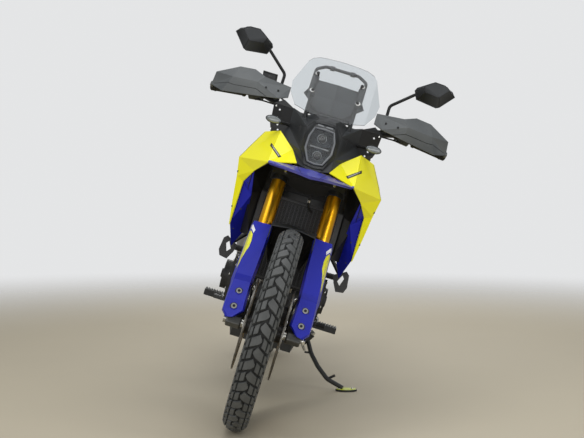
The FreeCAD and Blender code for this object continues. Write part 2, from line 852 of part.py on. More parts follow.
def makeMainFrame():
    """Steel tube frame: head tube, rails, down tubes and the swingarm's pivot lugs."""
    length = size("head_tube_length")
    gap = (size("upper_clamp_start") - length - size("clamp_height")) / 2
    low = clampPoint + axisUp * (size("clamp_height") + gap)
    high = low + axisUp * length
    head = cylinder(low, high, 29)
    pivot = point(0, "pivot_y", "pivot_z")
    pieces = []
    for side in (-1, 1):
        rail = tube([Vector(side * 12, high.y + 4, high.z - 44), Vector(side * 92, -262, 868),
                     Vector(side * 118, -40, 800), Vector(side * 122, pivot.y - 75, 716),
                     Vector(side * 150, pivot.y - 15, 570), Vector(side * 150, pivot.y - 4, 316)],
                    size("frame_tube"), 90)
        down = tube([Vector(side * 12, low.y + 6, low.z + 30), Vector(side * 93, -318, 840),
                     Vector(side * 143, -236, 700), Vector(side * 143, -60, 622),
                     Vector(side * 141, pivot.y - 35, 612)], 15, 60)
        lug = cylinder(pivot + Vector(side * 129, 0, 0), pivot + Vector(side * 150, 0, 0), 25)
        pieces.extend([rail, down, lug])
    for y, z, half in ((pivot.y - 4, 326, 146), (pivot.y - 75, 716, 120),
                       (pivot.y - 42, 640, 134)):
        pieces.append(cylinder(Vector(-half, y, z), Vector(half, y, z), 13))
    whole = joined([head] + pieces)
    stem = cylinder(low - axisUp, high + axisUp, size("stem_radius") + size("running_gap"))
    shaft = cylinder(pivot - Vector(180, 0, 0), pivot + Vector(180, 0, 0), 10)
    keepChassis("main_frame", whole.cut([stem, shaft]))


def aft(y):
    """A place behind the seat's front: the tail moves back with the rear wheel."""
    start = size("seat_front_y")
    share = max(0, min(1, (y - start) / (size("tail_axle_y") - start)))
    return y + share * (rearAxle.y - size("tail_axle_y"))


def makeSubframe():
    """Seat rails with their struts and cross tubes."""
    radius = size("subframe_tube")
    pieces = []
    for side in (-1, 1):
        pieces.append(tube([Vector(side * 120, size("pivot_y") - 75, 722),
                            Vector(side * 98, aft(300), 766), Vector(side * 92, aft(560), 796),
                            Vector(side * 80, aft(905), 836)], radius, 90))
        pieces.append(tube([Vector(side * 148, size("pivot_y") - 14, 575),
                            Vector(side * 112, aft(400), 650), Vector(side * 91, aft(660), 806)],
                           radius - 2, 80))
    for y, z, half in ((330, 769, 96), (660, 807.5, 88), (895, 835, 80)):
        pieces.append(cylinder(Vector(-half, aft(y), z), Vector(half, aft(y), z), radius - 2))
    keepChassis("subframe", clearOf(joined(pieces), "main_frame"))


def makeEngine():
    """Twin-cylinder engine: crankcase, narrower gearbox, cylinders, and the output sprocket."""
    def slab(outline, half):
        corners = [Vector(-half, y, z) for y, z in outline]
        return prism(corners, Vector(2 * half, 0, 0))

    crankcase = rounded(slab([(-235, 300), (-245, 470), (-205, 560), (50, 585), (50, 290),
                              (10, 272), (-190, 272)], 148), 10)
    gearbox = rounded(slab([(30, 570), (150, 540), (166, 470), (166, 330), (110, 280), (30, 280)],
                           72), 8)
    cylinders = slab([(-215, 540), (-262, 690), (-110, 738), (-50, 560)], 124)
    head = rounded(slab([(-272, 690), (-300, 786), (-262, 812), (-150, 806), (-112, 740)], 132), 9)
    intake = rounded(slab([(-150, 640), (-128, 760), (20, 740), (40, 650), (0, 620)], 96), 8)
    output = cylinder(point(60, "front_sprocket_y", "front_sprocket_z"),
                      point("sprocket_x + 8", "front_sprocket_y", "front_sprocket_z"),
                      size("front_sprocket_radius"))
    oilFilter = cylinder(Vector(-55, -230, 350), Vector(-55, -292, 342), 33)
    whole = joined([crankcase, gearbox, cylinders, head, intake, output, oilFilter])
    keepChassis("engine", clearOf(whole, "main_frame"))


def makeEngineCovers():
    """Clutch cover on the right, generator and sprocket covers on the left."""
    def cover(side, y, z, radius, start, end, crown):
        low = cylinder(Vector(side * start, y, z), Vector(side * end, y, z), radius)
        top = cylinder(Vector(side * end, y, z), Vector(side * (end + crown), y, z), radius * 0.62)
        return joined([low, top])

    clutch = cover(-1, -60, 418, 96, 148, 196, 30)
    starter = cover(-1, -190, 470, 46, 148, 176, 8)
    generator = cover(1, -90, 430, 86, 148, 186, 14)
    sprocketCover = prism([Vector(148, 12, 360), Vector(148, 12, 470), Vector(148, 150, 486),
                           Vector(148, 160, 372)], Vector(14, 0, 0))
    right = joined([clutch, starter])
    left = joined([generator, sprocketCover])
    keepChassis("engine_covers", clearOf(compound([right, left]), "main_frame", "engine"))


def makeExhaust():
    """Two headers, merged under the engine, then out to the right."""
    radius = size("header_radius")
    floorZ = 249
    left = tube([Vector(52, -268, 742), Vector(52, -334, 700), Vector(40, -340, 520),
                 Vector(24, -322, floorZ), Vector(-30, -190, floorZ), Vector(-60, -70, floorZ)],
                radius, 60)
    right = tube([Vector(-52, -268, 742), Vector(-52, -334, 700), Vector(-60, -340, 520),
                  Vector(-66, -322, floorZ), Vector(-68, -190, floorZ), Vector(-72, -60, floorZ),
                  Vector(-136, 60, floorZ), Vector(-158, 170, 256), Vector(-186, 300, 330),
                  Vector(-186, 420, 430), Vector(-190, 512, 478)], radius, 60)
    keepChassis("exhaust_pipe", clearOf(joined([left, right]), "engine"))


def makeMuffler():
    """Oval silencer on the right, rising to the rear."""
    start = Vector(-190, 504, 474)
    way = Vector(-14, 430, 150).normalize()
    side = Vector(1, 0, 0)
    up = way.cross(side).normalize() * -1

    def oval(distance, wide, tall):
        centre = start + way * distance
        ring = Part.Ellipse(Vector(0, 0, 0), tall, wide)
        shape = ring.toShape()
        shape.Placement = Placement(centre, Rotation(up, side * -1, way, "ZXY"))
        return Part.Wire(shape)

    body = Part.makeLoft([oval(0, 24, 25), oval(60, 46, 60), oval(110, 52, 68), oval(400, 52, 66),
                          oval(456, 36, 46)], True, False)
    outlet = cylinder(start + way * 440, start + way * 476, 20)
    bore = cylinder(start + way * 450, start + way * 478, 16)
    body = joined([body, outlet]).cut(bore)
    keepChassis("muffler", clearOf(body, "exhaust_pipe"))


def makeRadiator():
    body = plate("radiator", "YZ_Plane", [[(-436, 474), (-404, 469), (-352, 785), (-384, 790)]],
                 -160, 320)
    doc.recompute()
    chassis["radiator"] = body.Shape
    keep("radiator", body)


def makeTank():
    """Fuel tank with a flat filler ring and its neck."""
    sections = []
    for y, top, half, middle, low in ((-232, 1034, 165, 978, 888), (-165, 1064, 203, 990, 857),
                                      (-45, 1056, 204, 968, 820), (90, 992, 160, 905, 776),
                                      (216, 872, 96, 842, 788)):
        ring = []
        for share, z in ((0, top), (0.42, top - 7), (0.8, top - 34), (1, middle),
                         (0.9, low + 18), (0.5, low)):
            ring.append(Vector(share * half, y, z))
        ring.append(Vector(0, y, low))
        for share, z in ((0.5, low), (0.9, low + 18), (1, middle), (0.8, top - 34),
                         (0.42, top - 7)):
            ring.append(Vector(-share * half, y, z))
        sections.append(ring)
    body = lofted(sections)
    ringFoot = Vector(0, -140, 1030)
    ringTop = Vector(0, -140, 1072)
    body = joined([body, cylinder(ringFoot, ringTop, 46)])
    body = body.cut(cylinder(ringTop - Vector(0, 0, 46), ringTop + Vector(0, 0, 1), 22))
    keepChassis("fuel_tank", clearOf(body, "main_frame"))
    lid = cylinder(Vector(0, -140, 1072.3), Vector(0, -140, 1081), 38)
    hinge = cylinder(Vector(-12, -184, 1077), Vector(12, -184, 1077), 4)
    tongue = block(Vector(-8, -184, 1073), Vector(8, -170, 1081))
    keep("fuel_cap", fixed("fuel_cap", joined([lid, hinge, tongue])))


def makeSeats():
    """Rider's and passenger's seats, as plain cushions of the right size."""
    def cushion(stations):
        sections = []
        for y, half, top, low in stations:
            ring = [(0, top), (0.6, top - 2), (0.93, top - 14), (1, low + 8), (0.9, low)]
            sections.append([Vector(share * half, aft(y), z) for share, z in ring]
                            + [Vector(0, aft(y), low)]
                            + [Vector(-share * half, aft(y), z) for share, z in reversed(ring[1:])])
        return lofted(sections)

    seat = size("seat_height")
    keepChassis("rider_seat", cushion([
        (222, 84, seat + 20, seat - 44), (300, 104, seat, seat - 26), (420, 144, seat + 2, seat - 24),
        (500, 150, seat + 10, seat - 24), (545, 146, seat + 22, seat - 24)]))
    keepChassis("pillion_seat", cushion([
        (550, 138, seat + 42, seat - 22), (640, 136, seat + 56, seat - 14),
        (760, 120, seat + 62, seat - 2), (868, 92, seat + 62, seat + 6)]))


def makeTailPanels():
    """Side panels below the seats."""
    seat = size("seat_height")
    stations = [
        [(100, 222, seat - 45), (148, 222, seat - 60), (128, 215, seat - 112)],
        [(102, 330, seat - 25.5), (160, 330, seat - 52), (119, 330, seat - 96)],
        [(129, 540, seat - 24), (168, 540, seat - 46), (114, 540, seat - 74)],
        [(122, 640, seat - 14), (164, 640, seat - 33), (110, 640, seat - 63)],
        [(107, 760, seat - 2), (146, 760, seat - 19), (104, 760, seat - 49)],
        [(90, 880, seat + 6), (104, 905, seat - 5), (95, 905, seat - 32)],
    ]
    stations = [[(x, aft(y), z) for x, y, z in line] for line in stations]
    left = panel(*rows(stations), -size("panel_thickness"))
    back = prism([Vector(-96, aft(906), seat + 5), Vector(96, aft(906), seat + 5),
                  Vector(84, aft(906), seat - 30), Vector(-84, aft(906), seat - 30)], Vector(0, 30, -4))
    whole = compound([clearOf(piece, "subframe", "rider_seat", "pillion_seat")
                      for piece in both(left)] + [clearOf(back, "subframe")])
    keepChassis("tail_panels", whole)


def makeRack():
    """Luggage rack with bolt holes on a circle, on grab rails at both sides."""
    low = size("seat_height") + 68
    outline = [Vector(-70, aft(872), low), Vector(70, aft(872), low), Vector(108, aft(920), low),
               Vector(100, aft(1052), low), Vector(60, aft(1076), low), Vector(-60, aft(1076), low),
               Vector(-100, aft(1052), low), Vector(-108, aft(920), low)]
    deck = prism(outline, Vector(0, 0, 7))
    centre = Vector(0, aft(975), low - 1)
    for index in range(4):
        angle = math.radians(45 + 90 * index)
        reach = size("rack_pitch_circle") / 2
        spot = centre + Vector(reach * math.cos(angle), reach * math.sin(angle), 0)
        deck = deck.cut(Part.makeCylinder(size("rack_hole_radius"), 9, spot))
    slot = block(centre - Vector(26, 26, 0), centre + Vector(26, 26, 9))
    deck = deck.cut(rounded(slot, 4))
    pieces = [deck]
    for side in (-1, 1):
        pieces.append(tube([Vector(side * 93, aft(640), 800), Vector(side * 166, aft(632), 846),
                            Vector(side * 168, aft(700), low - 16), Vector(side * 150, aft(860), low - 6),
                            Vector(side * 96, aft(950), low - 6)], 9, 40))
        pieces.append(cylinder(Vector(side * 80, aft(892), 836), Vector(side * 80, aft(892), low + 1), 8))
    keepChassis("rear_rack", clearOf(joined(pieces), "subframe"))
    tail = chassis["tail_panels"].cut(chassis["rear_rack"])
    doc.getObject("tail_panels").Shape = tail
    chassis["tail_panels"] = tail


def makeRearLights():
    """Tail lamp, plate bracket and blank number plate."""
    lamp = rounded(prism([Vector(-62, aft(936), 852), Vector(62, aft(936), 852), Vector(46, aft(936), 822),
                          Vector(-46, aft(936), 822)], Vector(0, 26, -2)), 5)
    keepChassis("tail_light", clearOf(lamp, "tail_panels"))
    spine = [Vector(-46, aft(880), 826), Vector(-46, aft(908), 822), Vector(-46, aft(1140), 640),
             Vector(-46, aft(1212), 520), Vector(-46, aft(1198), 514), Vector(-46, aft(1124), 624),
             Vector(-46, aft(880), 812)]
    bracket = prism(spine, Vector(92, 0, 0))
    arms = cylinder(Vector(-128, aft(1096), 668), Vector(128, aft(1096), 668), 8)
    bracket = joined([bracket, arms])
    keepChassis("plate_bracket", clearOf(bracket, "subframe", "tail_panels", "tail_light"))
    way = Vector(0, 72, -120).normalize()
    out = Vector(0, 120, 72).normalize()
    corner = Vector(-95, aft(1140), 640) + out * 0.2 + way * 4
    number = prism([corner, corner + way * 134, corner + way * 134 + Vector(190, 0, 0),
                    corner + Vector(190, 0, 0)], out * 2)
    keepChassis("number_plate", number)


def makeSwingarm():
    """Two box arms, the cross-member, the pivot tube and its shaft."""
    axle = rearAxle
    pivot = point(0, "pivot_y", "pivot_z")
    inner = size("arm_inner_x")
    thick = size("arm_thickness")
    outline = [(pivot.y - 30, pivot.z - 10), (pivot.y - 18, pivot.z + 28),
               (pivot.y + 70, pivot.z + 32), (axle.y - 70, axle.z + 34),
               (axle.y + 40, axle.z + 28), (axle.y + 52, axle.z), (axle.y + 40, axle.z - 22),
               (axle.y - 70, axle.z - 28), (pivot.y + 40, pivot.z - 32)]
    arm = prism([Vector(inner, y, z) for y, z in outline], Vector(thick, 0, 0))
    arm = rounded(arm, 5)
    slot = block(Vector(inner - 1, axle.y + 20, axle.z - 6),
                 Vector(inner + thick + 1, axle.y + 34, axle.z + 6))
    arm = arm.cut(slot)
    cross = rounded(prism([Vector(-inner - 4, y, z) for y, z in (
        (pivot.y + 38, pivot.z + 24), (pivot.y + 130, pivot.z + 16), (pivot.y + 138, pivot.z - 26),
        (pivot.y + 50, pivot.z - 24))], Vector(2 * inner + 8, 0, 0)), 5)
    lug = block(Vector(-14, pivot.y + 78, pivot.z + 10), Vector(14, pivot.y + 104, pivot.z + 30))
    pipe = cylinder(pivot - Vector(128.7, 0, 0), pivot + Vector(128.7, 0, 0), 22)
    shaft = cylinder(pivot - Vector(176, 0, 0), pivot + Vector(176, 0, 0), 10)
    whole = joined([arm, flip(arm), cross, lug, pipe, shaft])
    hole = cylinder(axle - Vector(150, 0, 0), axle + Vector(150, 0, 0), size("rear_axle_radius"))
    keepChassis("swingarm", clearOf(whole.cut(hole), "main_frame", "engine"))


def makeRearAxle():
    arm = "(arm_inner_x + arm_thickness)"
    right = "(rear_rotor_x + rotor_thickness / 2 + 0.5)"
    left = "(sprocket_x + sprocket_thickness / 2 + 0.5)"
    body = turned("rear_axle", [[
        (f"-{arm} - 14", 0),
        (f"-{arm} - 14", 19),
        (f"-{arm}", 19),
        (f"-{arm}", "rear_axle_radius"),
        ("-arm_inner_x", "rear_axle_radius"),
        ("-arm_inner_x", 18),
        (f"-{right}", 18),
        (f"-{right}", "rear_axle_radius"),
        (left, "rear_axle_radius"),
        (left, 18),
        ("arm_inner_x", 18),
        ("arm_inner_x", "rear_axle_radius"),
        (arm, "rear_axle_radius"),
        (arm, 19),
        (f"{arm} + 14", 19),
        (f"{arm} + 14", 0),
    ]])
    bore = drawn(body, "rear_axle_bore", "YZ_Plane", [("circle", 0, 0, 7)], f"-{arm} - 20")
    pocket = body.newObject("PartDesign::Pocket", "rear_axle_pocket")
    pocket.Profile = bore
    pocket.Type = "ThroughAll"
    pocket.Reversed = True
    keep("rear_axle", body, rearWheel)


def makeShock():
    """Rear shock absorber, its spring drawn as a plain sleeve."""
    top = Vector(0, size("pivot_y") - 42, 640)
    foot = Vector(0, size("pivot_y") + 91, size("pivot_z") + 30)
    way = (top - foot).normalize()
    start = foot + way * 16
    end = top - way * 14
    body = cylinder(start, end, 20)
    spring = cylinder(start + way * 26, end - way * 44, 34)
    canister = cylinder(end - way * 38, end - way * 4, 28)
    eyeTop = cylinder(top - Vector(16, 0, 0), top + Vector(16, 0, 0), 21)
    eyeFoot = cylinder(foot + way * 14 - Vector(14, 0, 0), foot + way * 14 + Vector(14, 0, 0), 13)
    whole = joined([body, spring, canister, eyeTop, eyeFoot])
    keepChassis("rear_shock", clearOf(whole, "main_frame", "swingarm", "engine"))


def beltFace(front, frontRadius, rear, rearRadius):
    """The outline of a belt around two circles, in the machine's side plane."""
    gap = math.hypot(rear.y - front.y, rear.z - front.z)
    slope = math.atan2(rear.z - front.z, rear.y - front.y)
    spread = math.acos((frontRadius - rearRadius) / gap)

    def spot(centre, radius, angle):
        return centre + Vector(0, radius * math.cos(angle), radius * math.sin(angle))

    a = spot(front, frontRadius, slope + spread)
    b = spot(front, frontRadius, slope + math.pi)
    c = spot(front, frontRadius, slope - spread)
    d = spot(rear, rearRadius, slope - spread)
    e = spot(rear, rearRadius, slope)
    f = spot(rear, rearRadius, slope + spread)
    edges = [Part.Arc(a, b, c).toShape(), Part.LineSegment(c, d).toShape(),
             Part.Arc(d, e, f).toShape(), Part.LineSegment(f, a).toShape()]
    return Part.Face(Part.Wire(edges))


def makeChain():
    """Drive chain, as one closed band around both sprockets."""
    x = size("sprocket_x - chain_width / 2")
    front = point(x, "front_sprocket_y", "front_sprocket_z")
    rear = Vector(x, rearAxle.y, rearAxle.z)
    inner = size("front_sprocket_radius")
    outer = size("sprocket_radius") + 0.5
    height = size("chain_height")
    band = beltFace(front, inner + height, rear, outer + height)
    band = band.cut(beltFace(front, inner, rear, outer))
    chain = band.extrude(Vector(size("chain_width"), 0, 0))
    keepChassis("drive_chain", compound([chain]))


def makeHugger():
    """Mudguard close over the rear tyre, carried by both arms, with the chain guard."""
    axle = rearAxle
    radius = size("rear_tyre_radius") + 16
    stations = []
    for degrees, half in ((-12, 62), (8, 74), (30, 78), (52, 78), (72, 74)):
        angle = math.radians(degrees)
        station = []
        for x, drop in ((-half, 34), (-half * 0.8, 6), (0, 0), (half * 0.8, 6), (half, 34)):
            reach = radius - drop
            station.append((x, axle.y - reach * math.sin(angle), axle.z + reach * math.cos(angle)))
        stations.append(station)
    shell = panel(*rows(stations), -size("panel_thickness"))
    root = point(-36, "pivot_y + 128", "pivot_z + 8")
    front = Vector(-36, axle.y - radius * 0.943, axle.z + radius * 0.326)
    tongue = prism([front, root, root - Vector(0, 0, 6), front - Vector(0, 0, 12)],
                   Vector(72, 0, 0))
    guard = prism([Vector(100, axle.y - 440, 484), Vector(100, axle.y - 60, 452),
                   Vector(100, axle.y - 60, 436), Vector(100, axle.y - 440, 462)], Vector(3, 0, 0))
    tab = block(Vector(100, axle.y - 300, 380), Vector(103, axle.y - 270, 468))
    whole = joined([shell, tongue])
    keepChassis("rear_hugger", compound([clearOf(whole, "swingarm", "drive_chain"),
                                         clearOf(joined([guard, tab]), "swingarm")]))


def makeRearCaliper():
    x = -size("rear_rotor_x")
    axle = rearAxle
    body = rounded(block(Vector(x - 22, axle.y - 124, axle.z + 66),
                         Vector(x + 22, axle.y - 64, axle.z + 124)), 5)
    slot = block(Vector(x - 5, axle.y - 160, axle.z + 40), Vector(x + 5, axle.y - 40, axle.z + 118))
    lug = block(Vector(-size("arm_inner_x"), axle.y - 120, axle.z + 10),
                Vector(x - 18, axle.y - 80, axle.z + 76))
    keepChassis("rear_caliper", clearOf(joined([body, lug]).cut(slot), "swingarm"))


def makeFootpegs():
    """Rider's and passenger's pegs, each on its hanger plate."""
    pieces = []
    for side in (-1, 1):
        hanger = prism([Vector(side * 169, 96, 294), Vector(side * 169, 150, 294),
                        Vector(side * 169, 214, 350), Vector(side * 169, 214, 400),
                        Vector(side * 169, 180, 404), Vector(side * 169, 96, 330)],
                       Vector(side * 10, 0, 0))
        boss = cylinder(Vector(side * 158, 200, 384), Vector(side * 172, 200, 384), 12)
        peg = block(Vector(min(side * 188, side * 292), 98, 290),
                    Vector(max(side * 188, side * 292), 142, 316))
        stub = cylinder(Vector(side * 174, 120, 304), Vector(side * 200, 120, 304), 12)
        pieces.append(joined([hanger, boss, rounded(peg, 3), stub]))
        rearHanger = tube([Vector(side * 116, 400, 640), Vector(side * 150, 420, 560),
                           Vector(side * 158, 436, 500)], 9, 30)
        rearPeg = cylinder(Vector(side * 150, 438, 498), Vector(side * 242, 438, 498), 12)
        pieces.append(joined([rearHanger, rearPeg]))
    keepChassis("footpegs", clearOf(compound(pieces), "main_frame", "subframe", "swingarm",
                                    "exhaust_pipe", "muffler"))


def makeFootControls():
    """Gear lever on the left, brake pedal on the right."""
    gear = tube([Vector(168, 30, 356), Vector(196, 10, 346), Vector(198, -70, 330)], 6, 20)
    toe = cylinder(Vector(190, -74, 330), Vector(232, -74, 330), 9)
    shaft = cylinder(Vector(148, 30, 356), Vector(176, 30, 356), 9)
    left = joined([gear, toe, shaft])
    pedal = tube([Vector(-188, 128, 336), Vector(-206, 60, 322), Vector(-206, -60, 318)], 7, 20)
    pad = block(Vector(-236, -86, 312), Vector(-190, -50, 326))
    hub = cylinder(Vector(-179, 134, 338), Vector(-196, 134, 338), 10)
    right = joined([pedal, pad, hub])
    keepChassis("foot_controls", clearOf(compound([left, right]), "engine", "engine_covers",
                                         "footpegs"))


def makeSkidPlate():
    """Aluminium-look guard below the headers and the sump."""
    stations = []
    for y, z, half in ((-384, 452, 96), (-384, 400, 112), (-362, 292, 118), (-300, 222, 120),
                       (60, 221, 120)):
        lift = 54 if z < 300 else 20
        back = 30 if z > 300 else 0
        stations.append([(-half - 16, y + back, z + lift), (-half, y, z), (half, y, z),
                         (half + 16, y + back, z + lift)])
    shell = panel(*rows(stations), -size("panel_thickness"))
    stays = []
    for side in (-1, 1):
        stays.append(block(Vector(side * 100 - 12, -120, 222), Vector(side * 100 + 12, -90, 273)))
    keepChassis("skid_plate", clearOf(joined([shell] + stays), "engine", "exhaust_pipe"))


# Nose

screenFront = Rotation(Vector(1, 0, 0), -27).multVec(Vector(0, -1, 0))


def halfLoop(points):
    """A closed loop, from half of it and its mirror image."""
    left = [(-x, y, z) for x, y, z in reversed(points) if x > 0]
    return points + left


cowlOpening = halfLoop([(0, -596, 1061), (37, -598, 1057), (48, -610, 1022), (50, -624, 977),
                        (28, -648, 930), (0, -651, 926)])


def cowlShell():
    """Faceted sheet around the lamp: lamp frame, six-sided bezel and side wings."""
    half = {
        "hexTop": (31, -560, 1094), "hexSide": (65, -548, 1054), "hexLow": (61, -608, 963),
        "hexPoint": (30, -676, 908), "browTop": (56, -512, 1112), "browCorner": (77, -486, 1092),
        "upperTip": (133, -436, 1113), "outer": (131, -438, 1043), "lowTip": (154, -466, 1000),
        "mid": (89, -560, 961), "beakIn": (59, -660, 917), "lamp1": cowlOpening[1],
        "lamp2": cowlOpening[2], "lamp3": cowlOpening[3], "lamp4": cowlOpening[4],
    }
    points = {"top": (0, -564, 1095), "brow": (0, -516, 1112), "point": (0, -686, 903),
              "low": (0, -704, 899), "lampTop": cowlOpening[0], "lampLow": cowlOpening[5]}
    ring = ("lampTop", "lamp1", "lamp2", "lamp3", "lamp4", "lampLow")
    middle = ("top", "hexTop", "hexSide", "hexLow", "hexPoint", "point")
    sheets = [(ring[at], ring[at + 1], middle[at + 1], middle[at]) for at in range(5)]
    sheets += [("top", "hexTop", "browTop", "brow"), ("hexTop", "browCorner", "browTop"),
               ("hexTop", "hexSide", "browCorner"), ("hexSide", "upperTip", "browCorner"),
               ("hexSide", "outer", "upperTip"), ("hexSide", "hexLow", "outer"),
               ("hexLow", "lowTip", "outer"), ("hexLow", "mid", "lowTip"),
               ("hexLow", "hexPoint", "beakIn", "mid"), ("hexPoint", "point", "low", "beakIn")]
    polygons = []
    for name, (x, y, z) in half.items():
        points["L" + name] = (x, y, z)
        points["R" + name] = (-x, y, z)
    for names in sheets:
        polygons.append(tuple(name if name in points else "L" + name for name in names))
        polygons.append(tuple(name if name in points else "R" + name for name in reversed(names)))
    return panel(points, polygons, size("panel_thickness"))


def makeCowlStay():
    """Bracket from the head tube, forward between the fork tubes, to cowl and screen."""
    along = clampPoint + axisUp * 112
    root = along + axisFront * 20
    bar = cylinder(Vector(-110, -540, 1000), Vector(110, -540, 1000), 9).cut(cowlShell())
    bar = max(bar.Solids, key=lambda solid: solid.Volume)
    pieces = [bar, tube([root, along + axisFront * 120, Vector(0, -560, 1002)], 15, 30)]
    for side in (-1, 1):
        pieces.append(tube([Vector(side * 76, -540, 1000), Vector(side * 84, -500, 1060),
                            Vector(side * 84, -470, 1120), Vector(side * 84, -408, 1250)], 8, 30))
        for foot, reach in ((Vector(side * 84, -443, 1170), 50), (Vector(side * 84, -412, 1238), 48)):
            pieces.append(cylinder(foot, foot + screenFront * reach, 6))
        pieces.append(cylinder(Vector(side * 84, -450, 1160), Vector(side * 84, -404, 1160), 6))
    keepChassis("cowl_stay", clearOf(joined(pieces), "main_frame"))


def makeCowl():
    """Headlight cowl and the lamp inside its opening."""
    keepChassis("headlight_cowl", clearOf(cowlShell(), "cowl_stay"))
    count = len(cowlOpening)
    front = [Vector(x * 0.97, y + 14, 1000 + (z - 1000) * 0.98) for x, y, z in cowlOpening]
    back = [Vector(x * 0.9, -560, 1004 + (z - 1000) * 0.8) for x, y, z in cowlOpening]
    faces = [list(reversed(front)), back]
    for index in range(count):
        following = (index + 1) % count
        faces.append([front[index], front[following], back[following], back[index]])
    lamp = closedSolid(faces)
    keepChassis("headlight", clearOf(lamp, "headlight_cowl", "cowl_stay"))


def perforatedPlates():
    """Black plates with holes, between the cowl and the rider's switches."""
    points = {"a": (130, -432, 1110), "b": (178, -352, 1139), "c": (213, -350, 1118),
              "d": (206, -352, 1040), "e": (188, -356, 990), "f": (151, -462, 1003),
              "g": (129, -436, 1044)}
    left = panel(points, [("f", "e", "d", "g"), ("g", "d", "c", "a"), ("a", "c", "b")],
                 size("panel_thickness"))
    drills = []
    for x, z in ((169, 1111), (184, 1096), (186, 1066), (176, 1040), (168, 1020)):
        drills.append(cylinder(Vector(x, -460, z), Vector(x, -340, z), 3.5))
    return [clearOf(piece, "headlight_cowl", "cowl_stay") for piece in both(left.cut(drills))]


def makeWindscreen():
    """Clear curved screen with rounded upper corners."""
    outline = [Vector(0, -60, -96), Vector(74, -60, -92), Vector(132, -60, -70),
               Vector(160, -60, -18), Vector(166, -60, 28), Vector(131, -60, 128),
               Vector(118, -60, 143), Vector(90, -60, 153), Vector(0, -60, 156)]
    outline = outline + [Vector(-corner.x, corner.y, corner.z)
                         for corner in reversed(outline[1:-1])]
    bend = 800
    centre = Vector(0, bend, -120)
    curved = Part.makeCylinder(bend, 300, centre)
    curved = curved.cut(Part.makeCylinder(bend - size("screen_thickness"), 300, centre))
    screen = prism(outline, Vector(0, 180, 0)).common(curved)
    screen.Placement = Placement(Vector(0, -490, 1188), Rotation(Vector(1, 0, 0), -27))
    keepChassis("windscreen", clearOf(screen, "headlight_cowl", "cowl_stay"))


def makeInstruments():
    """Dark panel behind the screen, with the rider's display on it."""
    stations = [
        [(-44, -462, 1122), (0, -466, 1122), (44, -462, 1122)],
        [(-112, -392, 1184), (0, -410, 1184), (112, -392, 1184)],
        [(-80, -356, 1246), (0, -372, 1246), (80, -356, 1246)],
    ]
    shell = panel(*rows(stations), 4)
    display = block(Vector(-84, -12, -46), Vector(84, 10, 46))
    display = rounded(display, 4)
    display.Placement = Placement(Vector(0, -407, 1148), Rotation(Vector(1, 0, 0), -42))
    whole = joined([shell, display])
    keepChassis("instrument_panel", clearOf(whole, "cowl_stay", "windscreen"))


def makeAccessoryBar():
    """Bar above the instruments, for a stranger's clamp."""
    path = [Vector(-98, -384, 1196), Vector(-98, -340, 1286), Vector(-64, -322, 1306),
            Vector(64, -322, 1306), Vector(98, -340, 1286), Vector(98, -384, 1196)]
    bar = tube(path, 6, 20)
    keepChassis("accessory_bar", clearOf(bar, "instrument_panel", "windscreen", "cowl_stay"))


def makeBeak():
    """Wide pointed beak below the cowl."""
    half = [
        [(0, -700, 906), (52, -640, 907), (157, -612, 899)],
        [(0, -885, 880), (46, -842, 885), (157, -630, 891)],
        [(0, -874, 871), (44, -830, 876), (150, -620, 884)],
    ]
    stations = []
    for line in half:
        stations.append([(-x, y, z) for x, y, z in reversed(line[1:])] + line)
    shell = panel(*rows(stations), -size("panel_thickness"))
    keepChassis("beak", clearOf(shell, "headlight_cowl"))


def makeShrouds():
    """Yellow upper shrouds over the tank's sides, and blue lower ones around the radiator."""
    upper = {
        "topTip": (153, -485, 1016), "topOut": (213, -380, 1002), "tankTop": (214, -200, 1008),
        "beakTip": (158, -624, 891), "widest": (275, -420, 882), "notch": (263, -420, 813),
        "edge": (254, -400, 725), "lowTip": (240, -400, 631), "inner": (201, -520, 848),
        "innerMid": (233, -440, 800), "side": (281, -300, 881), "sideUp": (268, -250, 925),
        "rearTop": (236, -50, 935), "rearLow": (240, -80, 830), "sideLow": (264, -300, 788),
        "lowRear": (244, -330, 655), "cowlMid": (89, -560, 961), "beakIn": (59, -660, 916),
    }
    faces = [
        ("topTip", "cowlMid", "beakTip"), ("cowlMid", "beakIn", "beakTip"),
        ("topTip", "beakTip", "widest"), ("topTip", "widest", "topOut"),
        ("beakTip", "inner", "widest"), ("inner", "innerMid", "notch", "widest"),
        ("topOut", "widest", "side", "sideUp"), ("topOut", "sideUp", "tankTop"),
        ("tankTop", "sideUp", "rearTop"), ("sideUp", "side", "rearTop"),
        ("side", "sideLow", "rearLow", "rearTop"), ("widest", "notch", "sideLow", "side"),
        ("notch", "edge", "lowRear", "sideLow"), ("innerMid", "edge", "notch"),
        ("innerMid", "lowTip", "edge"), ("edge", "lowTip", "lowRear"),
    ]
    left = panel(upper, faces, size("panel_thickness"))
    pair = [clearOf(piece, "headlight_cowl", "beak", "fuel_tank") for piece in both(left)]
    keepChassis("upper_shrouds", compound(pair))
    lower = {
        "top": (201, -510, 845), "upperOut": (238, -430, 800), "lowOut": (239, -396, 640),
        "bottom": (216, -300, 551), "bottomIn": (188, -330, 609), "innerMid": (190, -440, 760),
        "rear": (232, -230, 640),
    }
    lowerFaces = [
        ("top", "innerMid", "upperOut"), ("innerMid", "bottomIn", "lowOut", "upperOut"),
        ("bottomIn", "bottom", "lowOut"), ("lowOut", "bottom", "rear"),
    ]
    left = panel(lower, lowerFaces, size("panel_thickness"))
    pair = [clearOf(piece, "upper_shrouds", "radiator") for piece in both(left)]
    keepChassis("lower_shrouds", compound(pair))


